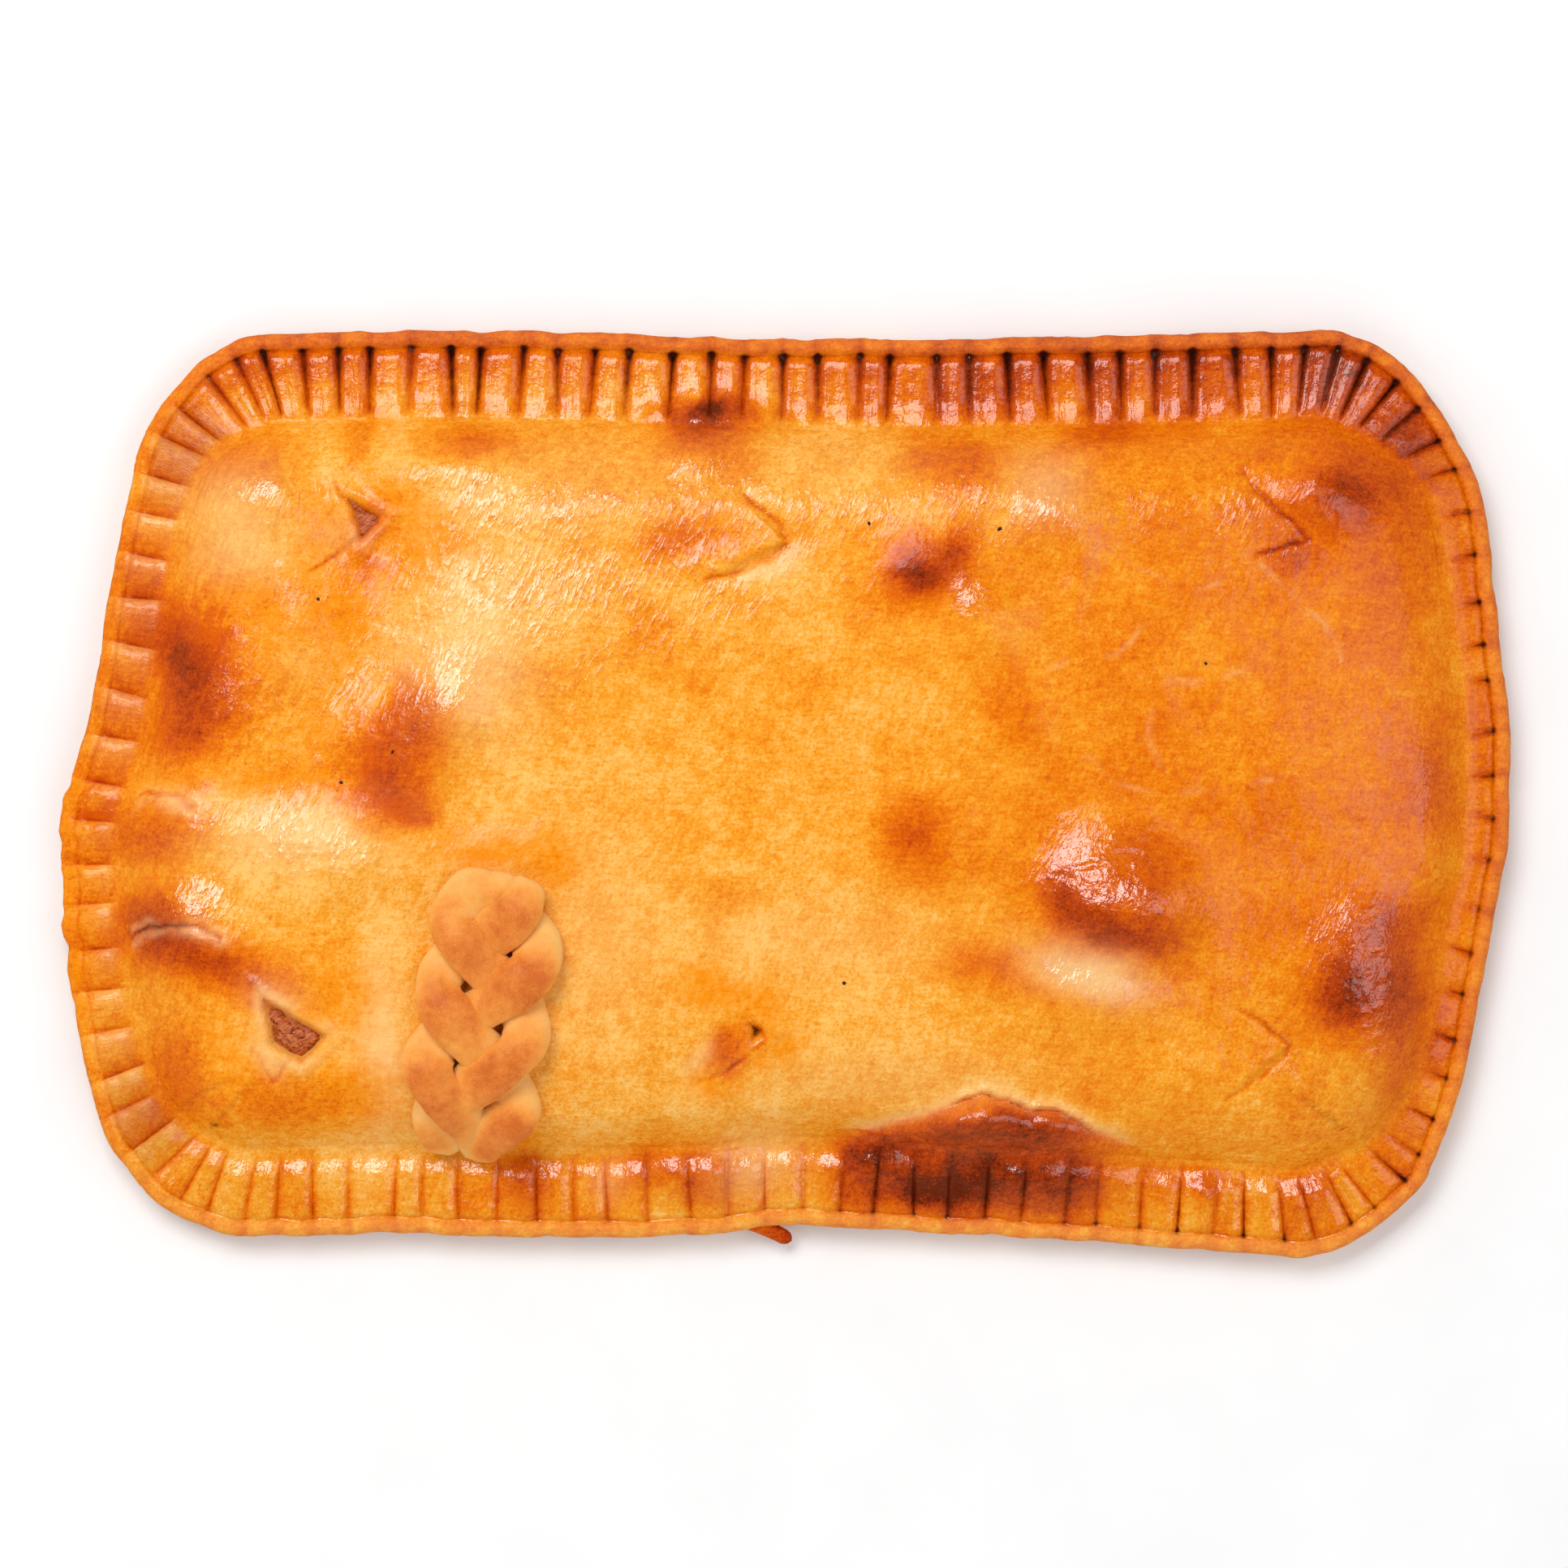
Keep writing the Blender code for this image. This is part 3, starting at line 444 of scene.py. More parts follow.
def vent_relief(xy):
    """Each vent's cut line, the flap lifted behind it, and the hollows of the open ones.

    A flap's lift grows towards the tip and is greatest along its cut edges. The crust outside the
    cut sinks a little, and the cut itself is a narrow groove. Round an opening stands a low ring.
    """
    total = np.zeros(xy.shape[:-1])
    wavy = jittered(xy, *VENT_WAVER)
    for upper, lift, lower in VENTS.values():
        tip = np.array(upper[-1])
        away = polyline_distance(wavy, (*upper, *lower))
        depth = inside_distance(wavy, (upper[0], tip, lower[-1]))
        reach = np.linalg.norm(wavy - tip, axis=-1) / np.linalg.norm(tip - upper[0])
        flap = smoothstep(-0.3, 0.4, depth) * np.clip(1.1 - reach, 0, 1)
        sunk = 0.35 * abs(lift) * smoothstep(0.2, -0.5, depth) * bell(away, 2.5)
        cut = VENT_CUT_DEPTH * bell(away, 0.55) * smoothstep(1.9, 1.0, reach)
        total += lift * flap - sunk - cut
    for corners in (*OPENINGS.values(), SMALL_HOLE):
        depth = inside_distance(wavy, corners)
        total -= OPENING_DEPTH * smoothstep(-0.5, 1.1, depth)
        total += OPENING_RING_HEIGHT * bell(depth + 1.6, 1.3)
    return total


def tear_place(xy):
    """How far each point lies below the torn edge, and how much of the tear there is at its x."""
    line = np.array(TEAR)
    x = xy[..., 0]
    row = xy * np.array([1.0, 0.0])
    edge_y = np.interp(x, line[:, 0], line[:, 1])
    edge_y = edge_y + 1.2 * lattice_noise(row, 4.6, 41) + 0.35 * lattice_noise(row, 1.3, 42)
    share = smoothstep(TEAR_START, TEAR_START + 10, x) * (1 - smoothstep(TEAR_END - 9, TEAR_END, x))
    return edge_y - xy[..., 1], share


def tear_relief(xy):
    """The swollen rim's upper edge: a rounded step up, a crack where it has torn, and a ragged flake.

    Below the line the skin stands proud and falls away again over the crimps, in uneven folds. The
    crack and the flake above it lie only in the middle of the line, and a shallow crease beside them.
    """
    below, share = tear_place(xy)
    x = xy[..., 0]
    torn = smoothstep(30, 37, x) * (1 - smoothstep(60, 66, x))
    flake = TEAR_FLAKE_HEIGHT * bell(below + 0.7, 0.8) * (1 + 0.7 * lattice_noise(xy, 2.1, 43)) * torn
    crack = TEAR_CRACK_DEPTH * bell(below - 0.35, 0.40) * torn
    crease = TEAR_CREASE_DEPTH * bell(below + 0.6, 1.1) * (1 - torn)
    step = TEAR_STEP_HEIGHT * smoothstep(-0.6, 4.2, below) * (1 - smoothstep(7.0, 17.0, below))
    folds = TEAR_FOLD_HEIGHT * fractal_noise(xy * np.array([1.5, 0.8]), 4.2, 44)
    folds *= smoothstep(0.5, 3.0, below) * (1 - smoothstep(10, 17, below))
    return share * (flake - crack - crease + step + folds)


def crack_relief(xy):
    """Cracks in the lid: a narrow groove between two low, crumbly edges."""
    wavy = jittered(xy, *CRACK_WAVER)
    total = np.zeros(xy.shape[:-1])
    crumbs = 1 + 0.8 * lattice_noise(xy, 1.2, 57)
    for line, depth in zip(CRACKS, CRACK_DEPTHS):
        away = polyline_distance(wavy, line)
        total += depth * (0.30 * crumbs * bell(away - 1.5, 1.0) - bell(away, 0.5))
    return total


def wrinkle_relief(xy):
    """Fine wrinkles in the skin of the blisters."""
    skin = humps(xy, SKINS, SKIN_POWER)
    creases = 1 - np.abs(fractal_noise(jittered(xy, 1.5, 4.0, 53), 3.6, 55))
    return np.clip(skin, 0, 1) * (0.30 * (creases - 0.6) + 0.12 * lattice_noise(xy, 1.7, 58))


# Where the brushed egg wash dried in fine wrinkles, in the form of the blisters.
STREAKY_PLACES = (
    (-43.0, 64.0, 42.0, 24.0, 1.0, 0), (20.0, 68.0, 30.0, 12.0, 0.9, 0), (-112.0, 60.0, 16.0, 14.0, 0.8, 0),
    (56.0, 60.0, 18.0, 12.0, 0.9, 0), (98.0, 62.0, 14.0, 16.0, 0.9, 20),
    (-100.0, -14.0, 30.0, 12.0, 1.0, 0), (-60.0, 26.0, 22.0, 20.0, 0.7, 0),
    (-20.0, 36.0, 26.0, 12.0, 0.35, 0), (-126.0, -40.0, 14.0, 26.0, 0.6, 0),
    (0.0, -56.0, 40.0, 10.0, 0.5, 0), (115.0, -45.0, 20.0, 34.0, 0.8, 0), (64.0, -28.0, 22.0, 20.0, 0.8, 0),
    (120.0, 12.0, 16.0, 14.0, 0.35, 0), (-100.0, 20.0, 20.0, 20.0, 0.6, 0),
    (110.0, -64.0, 20.0, 10.0, 0.5, 0),
)


# Where fine pale veins run in the glaze.
VEINS = (
    ((55.8, 27.7), (67.9, 26.2), (80.1, 38.4), (87.2, 42.7)), ((98.7, 45.5), (108.7, 35.5), (113.0, 27.0)),
    ((73.6, 24.1), (86.5, 21.6)), ((75.1, 19.1), (76.1, 6.9)), ((60.1, 6.2), (77.9, -0.9), (98.7, 1.9)),
    ((80.1, 38.4), (75.0, 46.0), (66.0, 49.0)), ((86.5, 21.6), (96.0, 27.0)),
)


def streakiness(xy):
    """How strongly the skin is wrinkled in fine streaks."""
    return 0.08 + 0.92 * np.clip(humps(xy, STREAKY_PLACES, STREAKY_POWER), 0, 1)


def lid_form(xy, inset, crimp_length):
    """The lid's smooth form: rim, dome, blisters and swells, without its fine relief."""
    height = rim(inset) + dome(xy, inset, crimp_length)
    return height + humps(xy, BLISTERS) * smoothstep(2.0, 9.0, inset)


def lid_relief(xy, inset, crimp_length):
    """The relief of the dome: swells, vents, tears, cracks and the dough's unevenness.

    Brush marks are noise drawn out along a slant. The crimped band stands on a low pedestal.
    """
    on_lid = smoothstep(crimp_length - 1.0, crimp_length + 7.0, inset)
    past_lip = smoothstep(3.0, 6.0, inset)
    height = humps(xy, SMALL_SWELLS) * on_lid
    height += humps(xy, RIM_SWELLS) * smoothstep(LIP_WIDTH, LIP_WIDTH + 5, inset)
    for amount, size, seed in LID_UNEVENNESS:
        height += amount * fractal_noise(xy, size, seed) * on_lid
    slanted = np.stack([xy[..., 0] + 0.45 * xy[..., 1], 0.4 * xy[..., 1]], -1)
    height += BRUSH_MARK_HEIGHT * lattice_noise(slanted, 1.7, 12) * streakiness(xy) * past_lip
    height += GRAIN_RELIEF_HEIGHT * lattice_noise(xy, 2.2, 14) * past_lip
    height += vent_relief(xy) + crack_relief(xy) + tear_relief(xy) + wrinkle_relief(xy)
    pedestal = smoothstep(LIP_WIDTH - 0.6, LIP_WIDTH + 2.0, inset)
    pedestal *= 1 - smoothstep(crimp_length + 0.5, crimp_length + 9, inset)
    return height + PEDESTAL_HEIGHT * pedestal


def smooth_lid_height(xy):
    """The height of the lid's smooth form at any x, y."""
    inset, crimp_length = EDGE.nearest(xy)
    return lid_form(xy, inset, crimp_length)


def side_weights(inward):
    """How far each place belongs to the top, right, bottom and left sides."""
    top, bottom = np.clip(-inward[..., 1], 0, 1) ** 2, np.clip(inward[..., 1], 0, 1) ** 2
    right, left = np.clip(-inward[..., 0], 0, 1) ** 2, np.clip(inward[..., 0], 0, 1) ** 2
    return top, right, bottom, left


# What differs on the top, right, bottom and left sides of the rim. Lengths along a crimp count from
# the lip's inner edge where the name begins with RIDGE or SLIT, and from the crimp's inner end where
# it begins with END.
RIDGE_HEIGHT = (0.72, 0.72, 1.72, 0.72)
RIDGE_START = (-0.3, -0.3, -0.3, -2.7)
RIDGE_RISE_LENGTH = (2.5, 2.5, 2.5, 4.1)
RIDGE_CUSHION_POWER = (4.8, 3.0, 4.6, 3.0)
END_FALL_START = (-2.4, -5.9, -6.0, -5.9)
END_FALL_STOP = (0.6, 1.2, -1.0, 1.2)
END_SLIT_START = (-2.0, -4.5, -2.0, -4.5)
END_SLIT_STOP = (0.4, -1.6, 0.4, -1.6)
SLIT_START = (-0.9, -0.9, -0.9, -0.3)
SLIT_FULL = (0.9, 0.9, 0.9, 1.9)
SLIT_DEPTH = (0.55, 0.45, 0.32, 0.40)
SLIT_WIDTH = (0.60, 0.36, 0.40, 0.36)
VALLEY_DEPTH = (1.20, 0.80, 0.85, 0.45)
VALLEY_FADE = (0.35, 0.35, 0.30, 0.35)
DITCH_DEPTH = (0.35, 0.0, 0.30, 0.0)
PIT_DEPTH = 0.45
RIDGE_TILT = 0.30
PILLOW_HEIGHT = 1.7
RIDGE_UNEVENNESS = 0.22
CRIMP_UNEVENNESS = 0.28


def crimp_strength(xy, phase, count):
    """How deeply each crimp was pressed: uneven all round, and hardly at all in one place on the right."""
    whole = np.round(phase)
    strength = 1 + CRIMP_UNEVENNESS * ring_noise(whole, count, 61)
    x, y = xy[..., 0], xy[..., 1]
    bare_right = smoothstep(125, 135, x) * bell(y + 19, 9.0, 4)
    return strength * (1 - 0.85 * bare_right)


def crimp_relief(phase, inset, crimp_length, pitch, xy, sides):
    """Rounded ridges between grooves that run in from the lip.

    Across a ridge the height is a cushion, 1 less a power of the distance from its middle, and its
    outer end is a quarter of an ellipse. In the valley between two ridges lies a narrow slit, with a
    pit at its outer end. Ridges tilt towards a groove along the top and the bottom, and on the left
    each is a pillow, which climbs slowly from one groove and drops steeply into the next.
    """
    top, _, bottom, left = sides
    across = phase - np.round(phase)
    past_lip, past_end = inset - LIP_WIDTH, inset - crimp_length
    outer = np.clip((past_lip - by_side(sides, RIDGE_START)) / by_side(sides, RIDGE_RISE_LENGTH), 0, 1)
    outer = np.sqrt(1 - (1 - outer) ** 2)
    inner = 1 - smoothstep(by_side(sides, END_FALL_START), by_side(sides, END_FALL_STOP), past_end)
    fade = 1 - by_side(sides, VALLEY_FADE) * smoothstep(LIP_WIDTH + 1, crimp_length, inset)
    cushion = 1 - (1 - 2 * np.abs(across)) ** by_side(sides, RIDGE_CUSHION_POWER)
    valley = by_side(sides, VALLEY_DEPTH) * (1 - cushion) * fade
    pit = bell(past_lip - 0.7, 1.5)
    slit = bell(np.abs(across * pitch), by_side(sides, SLIT_WIDTH) + 0.15 * pit * (top + bottom))
    slit *= smoothstep(by_side(sides, SLIT_START), by_side(sides, SLIT_FULL), past_lip)
    slit *= 1 - smoothstep(by_side(sides, END_SLIT_START), by_side(sides, END_SLIT_STOP), past_end)
    slit *= by_side(sides, SLIT_DEPTH) * fade + PIT_DEPTH * pit * top
    shallow = 1 - left * smoothstep(2.6, 0.4, past_lip)
    groove = shallow * crimp_strength(xy, phase, EDGE.crimps) * (valley + slit)
    tilt = RIDGE_TILT * (top + bottom) * np.clip(across * 2, -0.7, 0.7) * np.where(top > bottom, -1.0, 1.0)
    rise = phase - np.floor(phase)
    pillow = rise**1.3 * (1 - rise**6) - 0.3
    pillow = PILLOW_HEIGHT * left * pillow * (1 - smoothstep(-4.0, 0.0, past_end))
    ridge = by_side(sides, RIDGE_HEIGHT) + tilt + pillow
    ridge += RIDGE_UNEVENNESS * ring_noise(np.floor(phase), EDGE.crimps, 62)
    ditch = by_side(sides, DITCH_DEPTH) * bell(past_end - 0.2, 0.55)
    return outer * inner * (ridge - groove) - ditch


def lip_lift(phase, xy, across_mm, inset, sides):
    """How the lip's crest rises and falls along the edge, and where it has broken away.

    Its skin is pebbled, and along the bottom it bulges in between the grooves. On the left the lip
    is low, because the crimps' pillows run on to the edge.
    """
    count = EDGE.crimps
    wave = 0.14 * ring_noise(phase * 0.5, count // 2, 71) + 0.12 * ring_noise(phase * 2, count * 2, 72)
    broken = bell(xy[..., 1] + 20, 28.0, 4) * smoothstep(-135, -143, xy[..., 0])
    skin = np.stack([across_mm, inset], -1)
    pebbles = 0.18 * lattice_noise(skin, 1.6, 74) + 0.10 * lattice_noise(skin, 0.8, 75)
    _, _, bottom, left = sides
    scallop = 0.30 * bottom * np.cos(TURN * (phase + 0.5))
    ragged = 0.7 * lattice_noise(xy, 2.2, 73) * broken
    return wave + pebbles + scallop - 0.9 * left - 0.8 * broken + ragged, broken


# Baking marks, in the form of the blisters, where height is how far the mark is baked.
BROWN_MARKS = (
    # The blisters in the middle and on the right.
    (27.3, 45.7, 8.5, 7.5, 0.48, 0), (35.7, 49.9, 4.0, 5.0, 0.30, 0), (25.6, 43.5, 6.0, 3.0, 0.20, 0),
    (25.6, 41.5, 16.0, 12.0, 0.14, 0), (34.5, 68.5, 10.0, 4.5, 0.30, 0), (36.7, 62.8, 7.0, 4.0, 0.16, 0),
    (65.0, 73.5, 10.0, 4.0, 0.18, 0), (45.8, 17.7, 6.0, 7.0, 0.22, 0), (26.5, -8.8, 9.0, 9.0, 0.47, 0),
    (67.5, -19.5, 14.0, 11.0, 0.26, -8), (61.0, -26.0, 9.0, 5.0, 0.30, -20),
    (55.5, -20.0, 3.5, 8.0, 0.18, 0), (71.0, -29.5, 10.0, 4.0, 0.24, 0), (40.2, -35.6, 9.0, 5.0, 0.22, 0),
    (100.0, -25.0, 7.0, 5.0, 0.12, 0), (124.4, -27.0, 10.0, 6.0, 0.26, 0),
    (113.6, -41.5, 6.0, 8.0, 0.26, 0), (128.0, -47.2, 8.0, 10.0, 0.26, 0),
    (119.0, -38.0, 11.0, 11.0, 0.26, 0), (126.5, -60.0, 5.0, 7.0, 0.16, 0),
    (132.0, 5.4, 7.0, 10.0, 0.16, 0), (131.6, -4.3, 6.0, 6.0, 0.16, 0), (113.6, 60.6, 9.0, 8.0, 0.20, 0),
    (119.5, 63.3, 18.0, 13.0, 0.20, 0), (102.9, 48.4, 6.0, 4.0, 0.20, 0),
    (128.0, 43.5, 10.0, 12.0, 0.10, 0), (99.0, 55.0, 6.0, 6.0, 0.12, 0),
    # The left end, along the cracks and about the vents.
    (-120.5, 22.5, 8.0, 12.0, 0.42, 0), (-127.0, 33.0, 8.0, 8.0, 0.24, 0),
    (-120.0, 26.0, 19.0, 20.0, 0.14, 0), (-122.0, 11.0, 9.0, 6.0, 0.24, 0),
    (-72.5, 15.5, 6.0, 6.5, 0.32, 20), (-78.0, 5.0, 9.0, 9.5, 0.44, 0), (-84.0, -0.5, 9.0, 7.0, 0.24, 0),
    (-78.6, 18.5, 4.0, 9.0, 0.26, -20), (-74.0, -4.5, 5.0, 4.0, 0.30, 0), (-90.0, 5.4, 14.0, 9.0, 0.10, 0),
    (-110.5, 68.5, 9.0, 7.0, 0.24, 0), (-64.0, 71.5, 10.0, 4.5, 0.36, 0),
    (-130.0, -8.5, 12.0, 6.5, 0.34, 0), (-129.0, -24.5, 10.0, 6.0, 0.46, -10),
    (-122.4, -33.0, 14.0, 5.5, 0.42, -8), (-125.5, -58.0, 8.0, 9.5, 0.34, 0),
    (-105.0, -64.0, 17.0, 6.5, 0.20, 0), (-104.0, -40.0, 8.0, 5.0, 0.2, 0),
    (-112.0, -36.5, 12.0, 6.0, 0.22, 0), (-134.0, 42.0, 6.0, 10.0, 0.16, 0),
    (-88.0, 71.0, 4.0, 7.0, 0.22, 0), (-84.0, 55.0, 4.0, 8.0, 0.26, -30), (-83.0, 45.0, 6.0, 4.0, 0.22, 0),
    (-24.0, 50.5, 8.0, 5.0, 0.18, 0), (-14.0, 52.5, 9.0, 5.5, 0.22, 0), (-28.3, 32.8, 5.0, 4.0, 0.13, 0),
    (-50.4, 24.1, 8.0, 5.0, 0.10, 0), (4.5, 20.5, 6.0, 5.0, 0.09, 0), (-8.4, -20.7, 8.0, 3.5, 0.12, 0),
    (21.0, -27.7, 5.0, 4.0, 0.09, 0), (-8.4, 67.8, 5.0, 4.0, 0.12, 0), (-11.5, -51.5, 4.0, 6.0, 0.42, -35),
    (-95.0, -62.0, 14.0, 8.0, 0.10, 0), (40.0, -83.0, 25.0, 6.0, 0.22, 0),
    (-70.0, -84.0, 34.0, 8.0, 0.05, 0), (-15.0, 25.0, 26.0, 16.0, 0.04, 0),
    (-30.0, 62.0, 44.0, 16.0, 0.07, 0),
    # The blister at the top crease.
    (-16.2, 77.8, 10.5, 4.2, 0.38, 0), (-15.0, 79.2, 6.0, 1.8, 0.24, 0), (-16.0, 72.0, 10.0, 6.0, 0.32, 0),
    # The burst bubble and the bottom rim.
    (16.8, -73.0, 9.0, 4.5, 0.34, 8), (34.0, -68.0, 9.0, 5.0, 0.28, 15), (41.0, -74.5, 25.0, 12.5, 0.46, 0),
    (51.0, -67.5, 9.0, 5.0, 0.18, 0), (56.0, -79.0, 9.0, 9.0, 0.20, 0), (20.0, -78.0, 9.0, 8.0, 0.22, 0),
    (33.0, -83.0, 8.0, 4.0, 0.14, 0), (-53.0, -79.2, 6.0, 6.5, 0.34, 0), (-23.3, -76.8, 12.0, 6.0, 0.36, 0),
    (-16.3, -80.9, 4.5, 5.0, 0.20, 0), (26.0, -82.0, 14.0, 4.0, 0.16, 0), (86.5, -80.7, 4.0, 4.5, 0.30, 0),
    (107.3, -82.2, 4.0, 4.0, 0.16, 0), (131.0, -81.0, 8.0, 6.0, 0.16, 0), (48.0, -68.5, 14.0, 4.0, 0.20, 0),
    (38.0, -78.0, 15.0, 5.0, 0.14, 0),
    # The top rim and its corners.
    (32.0, 84.0, 14.0, 8.0, 0.30, 0), (113.0, 86.0, 9.0, 7.0, 0.20, 0), (131.0, 76.0, 6.0, 6.0, 0.06, 0),
    (80.0, 86.0, 30.0, 6.0, 0.10, 0), (-118.0, 84.0, 14.0, 6.0, 0.16, 35),
    (-95.0, 88.0, 14.0, 4.0, 0.16, 0),
)
# Where oil from the filling has stained the crust a bright orange yellow.
OIL_MARKS = (
    (-71.0, 52.5, 10.0, 7.5, 0.85, -15), (-87.5, 37.0, 7.5, 10.0, 0.9, 0),
    (-91.5, 15.0, 10.0, 13.0, 0.85, 0), (-80.0, 62.0, 5.0, 7.0, 0.6, 0), (-104.0, 3.0, 14.0, 5.0, 0.85, 0),
    (-146.0, -1.0, 8.0, 9.0, 1.0, 0), (-147.0, -18.0, 6.0, 20.0, 1.0, 0),
    (-145.0, -40.0, 5.0, 12.0, 0.7, 0), (-93.0, 50.0, 8.0, 9.0, 0.5, 0), (-60.0, -11.0, 15.0, 4.5, 0.95, 0),
    (-111.0, 33.0, 8.0, 9.0, 0.55, 0), (-46.2, -15.0, 4.0, 5.0, 0.75, 0), (-91.2, -42.0, 9.0, 8.0, 0.75, 0),
    (-88.0, -60.0, 9.0, 7.0, 0.85, 0), (-102.0, -64.5, 17.0, 5.5, 0.85, 0),
    (-116.0, -50.0, 8.0, 9.0, 0.5, 0), (-80.0, -4.0, 8.0, 5.0, 0.7, 0), (-14.7, -39.8, 7.0, 4.5, 0.95, 0),
    (-4.7, -42.8, 4.0, 5.0, 0.95, 0), (-1.8, -52.0, 6.0, 3.5, 0.95, 30), (-14.5, -59.5, 6.0, 3.0, 0.85, 0),
    (-92.0, 80.0, 14.0, 3.0, 0.60, 0), (-83.0, 79.0, 5.0, 6.0, 0.30, 0), (41.6, -12.2, 9.0, 8.0, 0.40, 0),
    (-113.0, 38.0, 14.0, 7.0, 0.45, 0), (-134.0, 20.0, 8.0, 22.0, 0.30, 0),
    (-96.0, 60.0, 6.0, 5.0, 0.45, 0), (-26.0, 50.0, 7.0, 5.0, 0.45, 0), (-110.0, -56.0, 6.0, 4.0, 0.40, 0),
    (62.0, 5.0, 30.0, 20.0, 0.22, 0), (15.0, 8.0, 22.0, 16.0, 0.15, 0), (-99.0, 38.0, 9.0, 9.0, 0.45, 0),
    (-75.0, 46.0, 8.0, 7.0, 0.45, 0),
)
# Where the crust stayed pale, and painted sheen and highlights on faces turned to the key light, as the
# comments in the table say.
PALE_AND_SHEEN_MARKS = (
    # The first mark is partly painted sheen, on the bright band of the upper middle.
    (-43.0, 62.0, 26.0, 10.0, 0.14, 0), (-105.8, -55.0, 3.8, 2.6, 1.0, -45),
    (-92.0, 52.5, 4.0, 4.5, 0.7, 30), (-99.5, 28.0, 5.0, 8.0, 0.15, 0), (-63.0, 30.0, 12.0, 12.0, 0.35, 0),
    # Both marks on the next line are painted sheen at the upper left corner, over paler dough.
    (-110.0, 48.0, 10.0, 8.0, 0.45, 0), (-113.0, 60.0, 10.0, 8.0, 0.40, 0),
    # The mark at 10, 66 is partly painted sheen, on the bright band of the upper middle.
    (-102.5, -44.5, 8.0, 7.0, 0.35, -30), (10.0, 66.0, 22.0, 7.0, 0.12, 0), (-78.0, 28.0, 5.0, 6.0, 0.3, 0),
    # The mark at -1.8, 46.6 is a painted highlight below a vent's cut, and the one at -83, -51 is pale dough
    # with painted sheen.
    (-1.8, 46.6, 6.0, 2.4, 0.55, 20), (-83.0, -51.0, 4.0, 20.0, 0.75, -4), (-82.0, -58.0, 5.0, 9.0, 0.4, 0),
    # The crescent at 61.5, -36.5 and the mark at 53, 62 are painted highlights, and the one at -97, -8 is
    # pale dough with painted sheen.
    (61.5, -36.5, 11.0, 4.8, 1.15, -14), (53.0, 62.0, 8.0, 7.0, 0.50, 0), (-97.0, -8.0, 18.0, 6.5, 0.70, 8),
    (-6.0, -76.0, 8.0, 7.0, 0.55, 0), (-40.0, -30.0, 14.0, 22.0, 0.25, 0), (-124.0, -1.8, 5.0, 2.0, 0.6, 0),
    # The mark at -119, -28.6 is painted sheen on the ledge below a crack.
    (5.0, -30.0, 26.0, 10.0, 0.22, 0), (-119.0, -28.6, 5.0, 1.6, 0.4, 0),
    (-17.5, -54.0, 2.0, 5.0, 0.45, -20), (20.0, -58.0, 30.0, 7.0, 0.20, 0),
    (-36.0, -80.0, 4.0, 5.0, 0.3, 0), (-60.0, 20.0, 10.0, 12.0, 0.25, 0),
)


def crust_tones(xy, inset, crimp_length):
    """How far each place is browned, oiled and pale, before the crimps' own marks; the pale tone also holds
    painted sheen.
    """
    place = xy + 1.8 * np.stack([fractal_noise(xy, 8.0, 81), fractal_noise(xy, 8.0, 84)], -1)
    x, y = xy[..., 0], xy[..., 1]
    west = smoothstep(-20, -80, x)
    brown = 0.12 + (0.05 + 0.05 * west) * fractal_noise(xy, 26.0, 87) + 0.05 * fractal_noise(xy, 7.0, 88)
    brown += 0.22 * smoothstep(15, 75, x) * (0.35 + 0.65 * smoothstep(-62, -25, y))
    # Browner from x 90 mm on and at the far left. Paler towards the right end, which is painted light making
    # up for the weaker light there.
    brown += 0.06 * smoothstep(90, 115, x) - 0.12 * smoothstep(122, 142, x) + 0.06 * smoothstep(-105, -125, x)
    brown += 0.06 * (1 - smoothstep(crimp_length - 2, crimp_length, inset))
    brown += humps(place, BROWN_MARKS, BAKING_POWER)
    oil = humps(place, OIL_MARKS, OIL_POWER) * (1 + 0.25 * fractal_noise(xy, 6.0, 90))
    pale = humps(place, PALE_AND_SHEEN_MARKS, BAKING_POWER) * (1 - 0.7 * np.clip(oil, 0, 1))
    return brown, np.clip(oil, 0, 1), np.clip(pale, 0, 1)


SHARP_ANGLE = 60


def make_mesh(name, verts, faces, materials, tones=None):
    """An object at the origin with this mesh, given in millimetres, and its tones at the points."""
    mesh = bpy.data.meshes.new(name)
    mesh.from_pydata(np.asarray(verts) * MM, [], faces)
    mesh.validate()
    for tone, values in (tones or {}).items():
        layer = mesh.attributes.new(tone, "FLOAT", "POINT")
        layer.data.foreach_set("value", np.asarray(values, np.float32).ravel())
    mesh.shade_smooth()
    mesh.set_sharp_from_angle(angle=math.radians(SHARP_ANGLE))
    for material in materials:
        mesh.materials.append(material)
    obj = bpy.data.objects.new(name, mesh)
    bpy.context.scene.collection.objects.link(obj)
    return obj


def ring_faces(rows, columns, first=0):
    """Quads between neighbouring rows of a grid whose columns run round a closed ring."""
    i, j = np.meshgrid(np.arange(rows - 1), np.arange(columns), indexing="ij")
    k = (j + 1) % columns
    quads = np.stack([i * columns + j, i * columns + k, (i + 1) * columns + k, (i + 1) * columns + j], -1)
    return (quads.reshape(-1, 4) + first).tolist()


def sheet_faces(rows, columns):
    """Quads of an open grid."""
    number = np.arange(rows * columns).reshape(rows, columns)
    quads = np.stack([number[:-1, :-1], number[1:, :-1], number[1:, 1:], number[:-1, 1:]], -1)
    return quads.reshape(-1, 4).tolist()


def fan_faces(loop, middle, flip):
    """Triangles from a closed loop of points to one point in its middle."""
    after = np.roll(loop, -1)
    order = (after, loop) if flip else (loop, after)
    return np.stack([*order, np.full(len(loop), middle)], -1).tolist()


